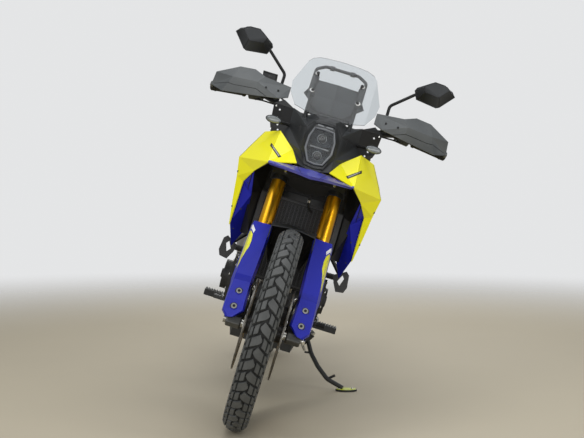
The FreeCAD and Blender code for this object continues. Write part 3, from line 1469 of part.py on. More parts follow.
def makeInnerPanels():
    """Black panels from the shrouds in to the radiator's sides, and one behind the fork."""
    points = {"tip": (157, -612, 884), "inner": (206, -508, 843), "edge": (208, -424, 762),
              "low": (204, -326, 613), "coolerLow": (157, -404, 613),
              "coolerTop": (157, -378, 784), "back": (151, -398, 902)}
    left = panel(points, [("tip", "back", "inner"), ("inner", "back", "coolerTop"),
                          ("inner", "coolerTop", "edge"),
                          ("edge", "coolerTop", "coolerLow", "low")], size("panel_thickness"))
    middle = block(Vector(-172, -249, 776), Vector(172, -246, 946))
    pieces = [clearOf(piece, "upper_shrouds", "lower_shrouds", "beak", "radiator", "fuel_tank",
                      "shroud_stays", "main_frame", "engine")
              for piece in both(left) + [middle]]
    keepChassis("inner_panels", compound(pieces + perforatedPlates()))


def makeShroudStays():
    """Brackets that carry the radiator, shrouds and beak on the frame."""
    pieces = []
    for side in (-1, 1):
        pieces.append(cylinder(Vector(side * 141, -262, 768), Vector(side * 141, -362, 744), 8))
        pieces.append(cylinder(Vector(side * 158, -384, 720), Vector(side * 251.5, -384, 720), 6))
        loop = prism([Vector(side * 200, -150, 548), Vector(side * 216, -150, 556),
                      Vector(side * 248, -150, 575), Vector(side * 261, -150, 563),
                      Vector(side * 267, -150, 513), Vector(side * 258, -150, 490),
                      Vector(side * 227, -150, 485), Vector(side * 210, -150, 516)],
                     Vector(0, 14, 0))
        window = prism([Vector(side * 222, -151, 528), Vector(side * 236, -151, 556),
                        Vector(side * 246, -151, 543), Vector(side * 236, -151, 512)],
                       Vector(0, 16, 0))
        arm = tube([Vector(side * 143, -110, 640), Vector(side * 176, -136, 606),
                    Vector(side * 222, -143, 556)], 8, 20)
        pieces.append(joined([loop.cut(window), arm]))
    keepChassis("shroud_stays", clearOf(compound(pieces), "main_frame", "radiator",
                                        "upper_shrouds", "lower_shrouds"))


def makeTurnSignals():
    """Four lamps on short stalks."""
    pieces = []
    for side in (-1, 1):
        stalk = cylinder(Vector(side * 132, -436, 1048), Vector(side * 180, -476, 1048), 7)
        pod = rounded(block(Vector(min(side * 172, side * 214), -500, 1034),
                            Vector(max(side * 172, side * 214), -462, 1064)), 10)
        pieces.append(joined([stalk, pod]))
        rearPod = rounded(block(Vector(min(side * 128, side * 172), aft(1082), 654),
                                Vector(max(side * 128, side * 172), aft(1118), 682)), 10)
        pieces.append(rearPod)
    keepChassis("turn_signals", clearOf(compound(pieces), "headlight_cowl", "inner_panels",
                                        "plate_bracket", "upper_shrouds"))


# Side stand

standPivot = point("stand_pivot_x", "stand_pivot_y", "stand_pivot_z")
standOut = Vector(0.799, -0.293, -0.524)
standBack = Vector(0.253, 0.962, -0.101)
standAxis = standOut.cross(standBack).normalize()


def makeSideStand():
    """Leg, foot and pivot of the side stand; its sole lies flat on the floor."""
    bracket = block(Vector(148, -74, 244), Vector(154, 6, 330))
    inward = (Vector(-1, 0, 0) + standAxis * standAxis.x).normalize()
    ears = []
    for offset in (-25.5, 18.5):
        base = standPivot + standAxis * offset
        ears.append(cylinder(base, base + standAxis * 7, 17))
        wide = standAxis.cross(inward).normalize() * 15
        reach = (base.x - 150) / -inward.x
        outline = [base - wide, base + wide, base + wide + inward * reach,
                   base - wide + inward * reach]
        ears.append(prism(outline, standAxis * 7))
    pin = cylinder(standPivot - standAxis * 28, standPivot + standAxis * 28, 8)
    keepChassis("stand_bracket", clearOf(joined([bracket] + ears + [pin]), "engine",
                                         "engine_covers", "skid_plate"))
    ground = stance.inverse()
    sole = point("foot_reach", "foot_ahead", 0)
    ankle = ground.multVec(sole + point(-14, 0, "foot_thickness + 4"))
    radius = size("stand_tube_radius")
    bends = []
    for share, bow, down in ((0.3, 25, 10), (0.55, 34, 14), (0.78, 27, 18)):
        bends.append(standPivot + (ankle - standPivot) * share - Vector(bow, 0, down))
    start = standPivot + (bends[0] - standPivot).normalize() * 12
    leg = tube([start] + bends + [ankle], radius, 60)
    eye = cylinder(standPivot - standAxis * 16, standPivot + standAxis * 16, 17)
    foot = Part.makeCylinder(1, size("foot_thickness"))
    stretched = FreeCAD.Matrix()
    stretched.scale(42, 26, 1)
    foot = foot.transformGeometry(stretched)
    foot.Placement = ground.multiply(Placement(sole, Rotation()))
    kick = cylinder(bends[2], bends[2] + Vector(26, -6, 24), 5)
    tab = cylinder(bends[0], bends[0] + Vector(-27, 0, -4), 4)
    whole = joined([leg, eye, foot, kick, tab])
    whole = whole.cut(cylinder(standPivot - standAxis * 30, standPivot + standAxis * 30, 8.3))
    keep("side_stand", fixed("side_stand", whole))


def makeAll():
    makeWheels()
    makeClamps()
    makeForkTubes()
    makeForkLegs()
    makeFrontAxle()
    makeForkGuards()
    makeFrontFender()
    makeFrontCalipers()
    makeHandlebar()
    makeHandControls()
    makeHandguards()
    makeMirrors()
    makeMainFrame()
    makeSubframe()
    makeEngine()
    makeEngineCovers()
    makeExhaust()
    makeMuffler()
    makeRadiator()
    makeTank()
    makeSeats()
    makeTailPanels()
    makeRack()
    makeRearLights()
    makeSwingarm()
    makeRearAxle()
    makeShock()
    makeChain()
    makeHugger()
    makeRearCaliper()
    makeFootpegs()
    makeFootControls()
    makeSkidPlate()
    makeCowlStay()
    makeCowl()
    makeWindscreen()
    makeInstruments()
    makeAccessoryBar()
    makeBeak()
    makeShrouds()
    makeShroudStays()
    makeInnerPanels()
    makeTurnSignals()
    makeSideStand()


def standUpAndCentre():
    """Parks every sub-part, with the origin on the floor under the middle of the whole."""
    doc.recompute()
    for label, item, place in subParts:
        item.Placement = stance.multiply(place)
    doc.recompute()
    box = None
    for label, item, place in subParts:
        extent = item.Shape.optimalBoundingBox(False, False)
        box = extent if box is None else box.united(extent)
    shift = Placement(Vector(-box.Center.x, -box.Center.y, 0), Rotation())
    for label, item, place in subParts:
        item.Placement = shift.multiply(stance.multiply(place))
    doc.recompute()
    print("row shift", -box.Center.x, -box.Center.y, "overall", box)


def checkAndExport():
    for item in doc.Objects:
        if "Invalid" in item.State or "Error" in item.State:
            raise ValueError(f"{item.Name} did not build")
    for label, item, place in subParts:
        if item.Shape.isNull() or not item.Shape.isValid():
            raise ValueError(f"{label} has no valid shape")
    for label, item, place in subParts:
        item.Shape.exportStep(f"parts/{label}.step")
        print(label, len(item.Shape.Solids), "solids", round(item.Shape.Volume / 1000), "cm3")


makeAll()
standUpAndCentre()
checkAndExport()
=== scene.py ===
from math import acos, asin, atan, atan2, cos, hypot, pi, radians, sin, sqrt

import bmesh
import bpy
from mathutils import Matrix, Vector
from mathutils.bvhtree import BVHTree


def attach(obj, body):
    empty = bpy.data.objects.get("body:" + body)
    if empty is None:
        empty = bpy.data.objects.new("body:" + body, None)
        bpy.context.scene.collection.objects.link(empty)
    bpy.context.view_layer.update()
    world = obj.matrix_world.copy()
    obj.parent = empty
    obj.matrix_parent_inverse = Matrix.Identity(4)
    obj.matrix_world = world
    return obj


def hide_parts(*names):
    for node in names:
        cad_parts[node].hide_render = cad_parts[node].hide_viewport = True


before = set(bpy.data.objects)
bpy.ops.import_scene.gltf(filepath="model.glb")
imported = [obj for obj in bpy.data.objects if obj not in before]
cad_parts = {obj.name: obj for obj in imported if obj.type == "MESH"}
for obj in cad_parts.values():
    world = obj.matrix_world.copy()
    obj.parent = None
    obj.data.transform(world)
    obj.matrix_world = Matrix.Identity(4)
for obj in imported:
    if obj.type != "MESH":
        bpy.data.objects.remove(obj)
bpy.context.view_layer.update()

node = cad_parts

# Places are given in the upright machine's own millimetres (x left, y back, z up)
# or in the fork's (z along the steering axis), and these turn them into the leaning frame.
stance = {
    "lean": 16.8, "rake": 28.0, "frontCrown": 46.0, "rearCrown": 76.0, "wheelbase": 1570.0,
    "clamp": (0.0, -452.7, 839.2), "axleOffset": 62.6, "frontRadius": 347.7, "rearRadius": 320.9,
    "shift": (-308.2428214140598, -39.83042975212504),
}
rake = radians(stance["rake"])
lean = radians(stance["lean"])
axisUp = Vector((0, sin(rake), cos(rake)))
axisAhead = Vector((0, -cos(rake), sin(rake)))
clampPoint = Vector(stance["clamp"])
forkReach = (clampPoint.z + stance["axleOffset"] * sin(rake) - stance["frontRadius"]) / cos(rake)
forkFoot = clampPoint - axisUp * forkReach
frontAxle = forkFoot + axisAhead * stance["axleOffset"]
rearAxle = Vector((0, frontAxle.y + stance["wheelbase"], stance["rearRadius"]))
frontDrop = stance["frontCrown"] * (1 - cos(lean))
rearDrop = stance["rearCrown"] * (1 - cos(lean))
pitch = atan((rearDrop - frontDrop) / stance["wheelbase"])
millimetre = 0.001
toLeft, toBack, toFront, toTop = (1, 0, 0), (0, 1, 0), (0, -1, 0), (0, 0, 1)


def parked():
    turned = Matrix.Rotation(lean, 4, "Y")
    pitched = (Matrix.Translation((0, frontAxle.y, frontDrop)) @ Matrix.Rotation(pitch, 4, "X")
               @ Matrix.Translation((0, -frontAxle.y, 0)))
    shift = Matrix.Translation((stance["shift"][0], stance["shift"][1], 0))
    return Matrix.Scale(millimetre, 4) @ shift @ pitched @ turned


def forkFrame(origin):
    columns = Matrix((Vector(toLeft), -axisAhead, axisUp)).transposed().to_4x4()
    return upright @ Matrix.Translation(origin) @ columns


upright = parked()
forkTop = forkFrame(clampPoint)
forkLow = forkFrame(forkFoot)
frontWheel = upright @ Matrix.Translation(frontAxle)
rearWheel = upright @ Matrix.Translation(rearAxle)


def linear(code):
    parts = [int(code[i:i + 2], 16) / 255 for i in (1, 3, 5)]
    return [p / 12.92 if p <= 0.04045 else ((p + 0.055) / 1.055) ** 2.4 for p in parts] + [1.0]


def addNode(tree, kind, settings=(), links=()):
    made = tree.nodes.new(kind)
    for name, value in dict(settings).items():
        if isinstance(name, int) or name in made.inputs:
            made.inputs[name].default_value = value
        else:
            setattr(made, name, value)
    for name, source in dict(links).items():
        tree.links.new(source, made.inputs[name])
    return made


def newMaterial(name):
    made = bpy.data.materials.new(name)
    made.use_nodes = True
    made.node_tree.nodes.clear()
    return made, made.node_tree


finish = {}


# One surface recipe: a base tone that drifts a little, a grain that goes into bump and roughness,
# and a painted highlight: a paler tone on sharp edges, where bevels catch the light. Sizes are in
# millimetres.
def surface(name, base, second, roughness, metallic=0.0, grain=1.0, depth=0.1, blotch=60.0,
            edge=None, edgeHighlightAmount=0.0, spread=0.08, stretch=(1, 1, 1), specular=0.5, coat=(0.0, 0.03)):
    made, tree = newMaterial(name)
    place = addNode(tree, "ShaderNodeTexCoord")
    scaled = addNode(tree, "ShaderNodeMapping", {"Scale": stretch}, {0: place.outputs["Object"]})
    drift = addNode(tree, "ShaderNodeTexNoise", {"Scale": 1000 / blotch, "Detail": 4.0},
                    {"Vector": place.outputs["Object"]})
    fine = addNode(tree, "ShaderNodeTexNoise", {"Scale": 1000 / grain, "Detail": 3.0},
                   {"Vector": scaled.outputs[0]})
    tone = addNode(tree, "ShaderNodeValToRGB", (), {0: drift.outputs["Fac"]})
    tone.color_ramp.elements[0].position, tone.color_ramp.elements[1].position = 0.3, 0.7
    tone.color_ramp.elements[0].color, tone.color_ramp.elements[1].color = linear(base), linear(second)
    colour = tone.outputs["Color"]
    # painted highlight: where pointiness marks a sharp edge, the colour turns to the paler edge tone
    if edge:
        shape = addNode(tree, "ShaderNodeNewGeometry")
        edgeHighlight = addNode(tree, "ShaderNodeMapRange", {1: 0.52, 2: 0.6, 4: edgeHighlightAmount},
                       {0: shape.outputs["Pointiness"]})
        mixed = addNode(tree, "ShaderNodeMix", {"data_type": "RGBA", 7: linear(edge)},
                        {0: edgeHighlight.outputs[0], 6: colour})
        colour = mixed.outputs[2]
    gloss = addNode(tree, "ShaderNodeMapRange", {3: max(roughness - spread, 0.02), 4: roughness + spread},
                    {0: fine.outputs["Fac"]})
    bump = addNode(tree, "ShaderNodeBump", {"Distance": depth * millimetre, "Strength": 0.6},
                   {"Height": fine.outputs["Fac"]})
    shader = addNode(tree, "ShaderNodeBsdfPrincipled",
                     {"Metallic": metallic, "Specular IOR Level": specular, "Coat Weight": coat[0],
                      "Coat Roughness": coat[1]},
                     {"Base Color": colour, "Roughness": gloss.outputs[0], "Normal": bump.outputs[0]})
    addNode(tree, "ShaderNodeOutputMaterial", (), {0: shader.outputs[0]})
    finish[name] = made


# carbon-black rubber out of the mould: dull, with a faint grey bloom
surface("tyreRubber", "#1a1b1b", "#252626", 0.72, grain=1.2, depth=0.25, blotch=35)
# the same rubber on the tread faces, greyer where the mould's skin is worn
surface("treadRubber", "#454747", "#525454", 0.55, grain=1.6, depth=0.2, blotch=30)
# aluminium tube, gold anodised over a fine lengthwise polish: deep warm highlights
surface("goldAnodised", "#ffb820", "#ffc636", 0.3, 1.0, grain=6, depth=0.002, blotch=160, spread=0.02)
surface("goldRim", "#b98a2c", "#c79a3c", 0.3, 1.0, grain=3, depth=0.01, blotch=90)
# ABS moulding painted lemon yellow under lacquer: clean gloss with slight orange peel
surface("lemonPaint", "#fbf402", "#fdf706", 0.34, grain=6, depth=0.02, blotch=180, spread=0.04,
        specular=0.3, coat=(0.25, 0.08))
# ABS in royal blue, semi-gloss from the mould
surface("royalBlue", "#08109a", "#0c15a4", 0.42, grain=4, depth=0.02, blotch=150, edge="#3a44c4",
        edgeHighlightAmount=0.3, specular=0.25)
# the beak's paler violet-blue, glossier: it mirrors the bright surroundings; the paleness is partly its own
# blue and partly painted skylight
surface("violetBlueAndSkylight", "#383cae", "#4044ba", 0.36, grain=4, depth=0.02, blotch=150, coat=(0.3, 0.15))
# ABS with a spark-eroded grain: dark, soft sheen, with a pale painted highlight on its sharp edges
surface("blackGrain", "#141618", "#1a1c1e", 0.5, grain=0.9, depth=0.16, blotch=70, edge="#54575a",
        edgeHighlightAmount=0.4, specular=0.35)
surface("greyGrain", "#4c5052", "#54585a", 0.5, grain=0.9, depth=0.14, blotch=80, edge="#7a7e80",
        edgeHighlightAmount=0.3)
surface("blackPowder", "#141516", "#1b1c1d", 0.42, grain=1.4, depth=0.08, blotch=90, edge="#4a4b4c",
        edgeHighlightAmount=0.3)
surface("engineBlack", "#1c1d1e", "#262727", 0.52, grain=1.1, depth=0.2, blotch=40, edge="#4c4c4b",
        edgeHighlightAmount=0.35)
surface("castAlloy", "#8c8d8c", "#9a9b99", 0.42, 0.9, grain=1.2, depth=0.12, blotch=40)
# disc steel, ground: a darker, browner mid grey than bright ground steel, with fine rings
surface("discSteel", "#6e6c67", "#7a7873", 0.4, 1.0, grain=0.8, depth=0.03, blotch=50)
# fork castings, painted dark silver
surface("darkAlloy", "#5a5b5a", "#666765", 0.45, 0.8, grain=1.2, depth=0.12, blotch=40)
surface("groundSteel", "#a8a7a2", "#b6b5b0", 0.3, 1.0, grain=0.8, depth=0.03, blotch=50)
surface("zincBolt", "#d8d8d4", "#e4e4e0", 0.2, 1.0, grain=1, depth=0.01, blotch=20)
surface("ribbedRubber", "#141414", "#1c1c1c", 0.7, grain=1.0, depth=0.2, blotch=30)
surface("seatVinyl", "#1d1e20", "#26272a", 0.58, grain=1.3, depth=0.3, blotch=60)
# near-black, for black parts, seals and dark joints; on the inner panels, the guard bolt sockets and the
# handguard crease it is painted shade
surface("blackAndShade", "#0c0c0d", "#131314", 0.5, grain=2, depth=0.1, blotch=30)
# link plates with a thin brass-coloured coat
surface("goldLink", "#a98a3e", "#b8994a", 0.34, 1.0, grain=1.5, depth=0.06, blotch=18)
# coil spring, powder-coated yellow
surface("springYellow", "#d9cf10", "#e4da1a", 0.34, grain=3, depth=0.04, blotch=60)
surface("standYellow", "#b9c714", "#c6d31c", 0.4, grain=2, depth=0.06, blotch=40)
# sewing thread and rolled welt, darker than the vinyl
surface("seatSeam", "#0e0e10", "#141416", 0.5, grain=0.7, depth=0.2, blotch=20)
surface("chainSteel", "#6d675a", "#8a8474", 0.4, 1.0, grain=1.5, depth=0.1, blotch=20)
surface("brushedStainless", "#9c9890", "#aca89f", 0.32, 1.0, grain=1.5, depth=0.03, blotch=60,
        stretch=(1, 0.08, 1))
surface("plateWhite", "#dedfdc", "#e8e8e5", 0.35, grain=3, depth=0.02, blotch=120)
# printed vinyl stripe under lacquer: flat white
surface("whiteStripe", "#e9eaea", "#f1f2f2", 0.32, grain=5, depth=0.01, blotch=80, coat=(0.3, 0.1))
# the same vinyl in lemon yellow
surface("lemonStripe", "#e6e40a", "#eeec16", 0.32, grain=5, depth=0.01, blotch=80, coat=(0.3, 0.1))
# satin grey moulding: light, without sparkle
surface("satinGrey", "#9b9ea0", "#a5a8aa", 0.36, grain=2, depth=0.03, blotch=30)
# lamp surround, satin grey: a calm ring round the dark lamp
surface("lampGrey", "#66696c", "#6f7275", 0.4, grain=2, depth=0.03, blotch=30)
# vapour-metallised bowl, smoked: dark, with sharp bright facets
surface("smokedChrome", "#202327", "#2a2d31", 0.2, 1.0, grain=8, depth=0.004, blotch=40, spread=0.03)
# moulded projector lens: dark eye with a clear bulge
surface("lensGlass", "#0d1014", "#12161b", 0.05, grain=9, depth=0.002, blotch=40, spread=0.02,
        coat=(1.0, 0.02))
# ribbed polycarbonate of a clear signal lens, over a bright bowl
surface("signalLens", "#6c7174", "#868b8e", 0.14, grain=2.2, depth=0.12, blotch=12, stretch=(1, 1, 0.1),
        coat=(1.0, 0.03))
# black-painted flat tubes and thin aluminium fins of the cooler
surface("radiatorTube", "#26282a", "#303234", 0.4, grain=1.4, depth=0.05, blotch=20)
surface("finMetal", "#161719", "#1f2022", 0.42, 0.6, grain=0.8, depth=0.05, blotch=12)
# silvered glass: a sharp, slightly cool reflection
surface("mirrorGlass", "#c8ced2", "#ccd2d6", 0.04, 1.0, grain=20, depth=0.001, blotch=200, spread=0.01)
# bonded display glass: black, very smooth
surface("displayGlass", "#07090b", "#0b0d10", 0.06, grain=14, depth=0.001, blotch=90, spread=0.02)
surface("redSwitch", "#a3120e", "#b31713", 0.35, grain=2, depth=0.03, blotch=20)
surface("redLens", "#7c0608", "#8f090b", 0.12, grain=4, depth=0.01, blotch=60, coat=(1.0, 0.03))


# Polycarbonate sheet, 3 mm, clear: a faint smoky body. The screen is coated, so it mirrors
# less than bare sheet.
def clearSheet(name, tint, roughness=0.02, ior=1.585):
    made, tree = newMaterial(name)
    place = addNode(tree, "ShaderNodeTexCoord")
    haze = addNode(tree, "ShaderNodeTexNoise", {"Scale": 25.0, "Detail": 3.0},
                   {"Vector": place.outputs["Object"]})
    gloss = addNode(tree, "ShaderNodeMapRange", {3: roughness, 4: roughness + 0.03},
                    {0: haze.outputs["Fac"]})
    shader = addNode(tree, "ShaderNodeBsdfPrincipled",
                     {"Base Color": linear(tint), "IOR": ior, "Transmission Weight": 1.0},
                     {"Roughness": gloss.outputs[0]})
    addNode(tree, "ShaderNodeOutputMaterial", (), {0: shader.outputs[0]})
    finish[name] = made


clearSheet("clearScreen", "#d8dde0", ior=1.36)
clearSheet("clearLens", "#f4f6f6", 0.01)
print("materials made")

nodeFinish = {
    "tyreRubber": "front_tyre rear_tyre",
    "goldRim": "front_rim rear_rim",
    "blackPowder": "front_hub rear_hub fork_clamps front_calipers handlebar main_frame subframe "
        "fuel_cap rear_rack rear_shock rear_caliper footpegs foot_controls accessory_bar "
        "shroud_stays stand_bracket side_stand",
    "discSteel": "front_rotors rear_rotor",
    "groundSteel": "rear_sprocket front_axle rear_axle",
    "goldAnodised": "fork_tubes",
    "darkAlloy": "fork_legs",
    "royalBlue": "fork_guards lower_shrouds",
    "blackGrain": "front_fender hand_controls mirrors tail_panels plate_bracket rear_hugger "
        "skid_plate headlight_cowl instrument_panel turn_signals",
    "ribbedRubber": "grips",
    "greyGrain": "handguards",
    "engineBlack": "engine engine_covers",
    "brushedStainless": "exhaust_pipe muffler",
    # inner_panels get this near-black: their own black plastic, darkened further as painted shade for the
    # deep shadow behind the fork
    "blackAndShade": "radiator cowl_stay headlight inner_panels",
    "lemonPaint": "fuel_tank upper_shrouds",
    "seatVinyl": "rider_seat pillion_seat",
    "redLens": "tail_light",
    "plateWhite": "number_plate",
    "castAlloy": "swingarm",
    "chainSteel": "drive_chain",
    "clearScreen": "windscreen",
    "violetBlueAndSkylight": "beak",
}
for label, names in nodeFinish.items():
    for name in names.split():
        node[name].data.materials.clear()
        node[name].data.materials.append(finish[label])


# Shapes are (points, faces), in millimetres of the frame that their piece stands in
def loft(rings, capped=True, closed=False):
    count = len(rings[0])
    points = [Vector(place) for ring in rings for place in ring]
    faces = []
    for index in range(len(rings) - (0 if closed else 1)):
        here, there = index * count, (index + 1) % len(rings) * count
        faces += [(here + k, here + (k + 1) % count, there + (k + 1) % count, there + k)
                  for k in range(count)]
    if capped and not closed:
        faces += [tuple(reversed(range(count))), tuple(range(len(points) - count, len(points)))]
    return points, faces


def circle(centre, across, up, radius, sides=20, corners=0):
    ring = []
    for k in range(sides):
        angle = 2 * pi * k / sides
        reach = radius
        if corners:
            part = pi / corners
            reach *= cos(part) / cos(angle % (2 * part) - part)
        ring.append(Vector(centre) + across * (reach * cos(angle)) + up * (reach * sin(angle)))
    return ring


def basis(way):
    way = Vector(way).normalized()
    across = way.orthogonal().normalized()
    return way, across, way.cross(across)


def lathe(profile, place, way, sides=28, corners=0, capped=True):
    way, across, up = basis(way)
    return loft([circle(Vector(place) + way * along, across, up, radius, sides, corners if hexed else 0)
                 for along, radius, *hexed in profile], capped)


def rod(start, end, radius, sides=16, rounding=0.0):
    length = (Vector(end) - Vector(start)).length
    r = rounding
    profile = [(0, radius - r), (r, radius), (length - r, radius), (length, radius - r)] if r else \
        [(0, radius), (length, radius)]
    return lathe(profile, start, Vector(end) - Vector(start), sides)


def bolt(place, way, radius=5.0, height=4.0, flange=0.0):
    foot = [(0, flange), (1.2, flange), (1.6, radius)] if flange else [(0, radius)]
    return lathe(foot + [(height - 0.7, radius), (height, radius - 0.7), (height, radius * 0.55, 1),
                         (height - 2.2, radius * 0.5, 1)], place, way, 18, 6)


def slab(low, high):
    (a, b, c), (d, e, f) = low, high
    return loft([[(x, b, c), (x, e, c), (x, e, f), (x, b, f)] for x in (a, d)])


def plate(outline, depth):
    return loft([outline, [Vector(place) + Vector(depth) for place in outline]])


def smoothLine(points, steps):
    points = [Vector(place) for place in points]
    padded = [2 * points[0] - points[1], *points, 2 * points[-1] - points[-2]]
    line = []
    for a, b, c, d in zip(padded, padded[1:], padded[2:], padded[3:]):
        for step in range(steps):
            t = step / steps
            line.append(0.5 * (2 * b + (c - a) * t + (2 * a - 5 * b + 4 * c - d) * t * t
                               + (3 * b - a - 3 * c + d) * t ** 3))
    return line + [points[-1]]


def hose(points, radius, sides=10, steps=6, closed=False):
    line = smoothLine(points, steps) if steps else [Vector(place) for place in points]
    rings, up = [], None
    for index, place in enumerate(line):
        before = line[index - 1] if index or closed else place
        after = line[(index + 1) % len(line)] if index + 1 < len(line) or closed else place
        way = (after - before).normalized()
        up = way.orthogonal().normalized() if up is None else (up - way * up.dot(way)).normalized()
        rings.append(circle(place, up.cross(way), up, radius, sides))
    return loft(rings, True, closed)


def mirror(shape):
    points, faces = shape
    return [Vector((-x, y, z)) for x, y, z in points], [tuple(reversed(face)) for face in faces]


def sided(hand, shape):
    return shape if hand > 0 else mirror(shape)


def both(*shapes):
    return [made for shape in shapes for made in (shape, mirror(shape))]


def piece(name, body, place, groups, slot=None, replaces=(), bevel=0.0, sharp=32):
    labels = list(dict.fromkeys(label for label, shapes in groups))
    points, faces, marks = [], [], []
    for label, shapes in groups:
        for shapePoints, shapeFaces in (shapes if isinstance(shapes, list) else [shapes]):
            start = len(points)
            points += [spot * millimetre for spot in shapePoints]
            faces += [tuple(start + k for k in face) for face in shapeFaces]
            marks += [labels.index(label)] * len(shapeFaces)
    mesh = bpy.data.meshes.new(name)
    mesh.from_pydata(points, [], faces)
    mesh.polygons.foreach_set("material_index", marks)
    for label in labels:
        mesh.materials.append(finish[label])
    work = bmesh.new()
    work.from_mesh(mesh)
    bmesh.ops.recalc_face_normals(work, faces=work.faces)
    work.to_mesh(mesh)
    work.free()
    mesh.shade_smooth()
    mesh.set_sharp_from_angle(angle=radians(sharp))
    made = bpy.data.objects.new(name, mesh)
    bpy.context.scene.collection.objects.link(made)
    made.matrix_world = place @ Matrix.Scale(1 / millimetre, 4)
    if bevel:
        edge = made.modifiers.new("edge", "BEVEL")
        edge.width, edge.segments, edge.angle_limit = bevel * millimetre, 2, radians(30)
        edge.harden_normals = True
    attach(made, body)
    if replaces:
        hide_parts(*replaces)
    return made


def onChassis(name, groups, *rest, **more):
    return piece(name, "chassis", upright, groups, *rest, **more)


skins = {}


def onto(name, place, point, way, loose=True):
    if name not in skins:
        mesh = node[name].data
        skins[name] = BVHTree.FromPolygons([v.co for v in mesh.vertices],
            [p.vertices for p in mesh.polygons])
    start = place @ (Vector(point) - Vector(way) * 200)
    hit = skins[name].ray_cast(start, (place.to_3x3() @ Vector(way)).normalized())[0]
    return place.inverted() @ hit if hit else (Vector(point) if loose else None)


# Decals: a thin layer laid on a CAD surface from rows of (left, right) points, projected along a direction
def decal(name, place, rows, way, thick=0.6, across=8, along=3):
    way = Vector(way).normalized()
    rows = [(Vector(left), Vector(right)) for left, right in rows]
    rings = []
    for (a, b), (c, d) in zip(rows, rows[1:]):
        for step in range(along + (1 if (c, d) == rows[-1] else 0)):
            left, right = a.lerp(c, step / along), b.lerp(d, step / along)
            spots = [onto(name, place, left.lerp(right, column / across), way, False)
                     for column in range(across + 1)]
            found = [column for column, spot in enumerate(spots) if spot]
            spots = [spots[min(found, key=lambda other: abs(other - column))]
                     for column in range(across + 1)]
            rings.append([spot - way * thick for spot in spots]
                         + [spot + way * 0.6 for spot in reversed(spots)])
    return loft(rings)


# Tyres: a carcass and separate rubber blocks, laid out in mirrored rows half a pitch apart
def treadTyre(name, body, place, tyre):
    radius, crown, depth = tyre["radius"], tyre["crown"], tyre["depth"]
    pitch = 2 * pi * radius / tyre["pitches"]
    shoulder = asin(tyre["shoulder"] / crown)

    def spot(along, across, deep):
        tilt, turn = across / crown, along / radius
        reach = radius - crown + (crown - deep) * cos(tilt)
        return ((crown - deep) * sin(tilt), -reach * cos(turn), reach * sin(turn))

    def block(columns, side):
        rings = []
        for index, (across, low, high) in enumerate(columns):
            drop, inset = (1.3, 0) if index in (0, len(columns) - 1) else (0, 1.1)
            rings.append([spot(s, side * across, h) for s, h in (
                (low - 0.6, depth + 1), (low, 1.3), (low + inset, drop), (high - inset, drop), (high, 1.3),
                (high + 0.6, depth + 1))])
        return loft(rings)

    blocks = []
    for step in range(tyre["pitches"]):
        for side in (-1, 1):
            start = step * pitch + (pitch / 2 if side > 0 else 0)
            for near, far, row, cross in tyre["blocks"]:
                base = start + row * pitch / 2
                columns = []
                if cross:
                    columns = [(-cross, 0.30, 0.52), (-cross * 0.45, 0.12, 0.68)]
                columns = [(t, base + low * tyre["length"], base + high * tyre["length"])
                           for t, low, high in columns]
                columns += [(t, base - tyre["slant"] * t,
                             base - tyre["slant"] * t + tyre["length"] * (1 - 0.12 * t / far))
                            for t in [near + 0.1]
                            + [near + (far - near) * k for k in (0.06, 0.4, 0.7, 0.94)] + [far]]
                blocks.append(block(columns, side))
    half = [(tyre["flange"], tyre["bead"]), (tyre["flange"], tyre["bead"] + 13),
            (tyre["flange"] + 5, tyre["bead"] + 16), (tyre["wall"][0] - 1, tyre["wall"][1] - 14),
            tyre["wall"], (tyre["wall"][0] + 1.2, tyre["wall"][1] + 4),
            (tyre["wall"][0] + 1.2, tyre["wall"][1] + 9)]
    for k in range(11):
        tilt = shoulder * (1 - k / 10)
        half.append(((crown - depth) * sin(tilt), radius - crown + (crown - depth) * cos(tilt)))
    inner = [(x * 0.72, r - 9) for x, r in reversed(half)]
    outline = half + [(-x, r) for x, r in reversed(half[:-1])]
    outline += [(-x, r) for x, r in reversed(inner)][1:-1] + inner[1:-1]
    rings = []
    for step in range(120):
        turn = 2 * pi * step / 120
        rings.append([(x, -r * cos(turn), r * sin(turn)) for x, r in outline])
    piece(name + "_visual", body, place, [("tyreRubber", [loft(rings, False, True)]),
        ("treadRubber", blocks)], "tyre", (name,), sharp=40)


treadTyre("front_tyre", "front_wheel", frontWheel, {
    "radius": 347.7, "crown": 46.0, "depth": 8.0, "shoulder": 43.0, "pitches": 28, "length": 33.0,
    "slant": 0.55, "blocks": [(1.5, 27, 0, 8), (12, 27, 1, 0), (31.5, 42, 0, 0), (31.5, 42, 1, 0),
                              (45, 54, 0.5, 0), (45, 54, 1.5, 0)],
    "flange": 27.0, "bead": 266.7, "wall": (41.5, 300.0)})
treadTyre("rear_tyre", "rear_wheel", rearWheel, {
    "radius": 320.9, "crown": 76.0, "depth": 9.0, "shoulder": 72.0, "pitches": 22, "length": 37.0,
    "slant": 0.5, "blocks": [(2, 42, 0, 11), (18, 42, 1, 0), (48, 68, 0, 0), (48, 68, 1, 0),
                             (72, 88, 0.5, 0), (72, 88, 1.5, 0)],
    "flange": 52.0, "bead": 218.4, "wall": (70.0, 252.0)})
print("tyres made")


def flat(rows, height=0.0):
    return [((a, height, b), (c, height, d)) for (a, b), (c, d) in rows]


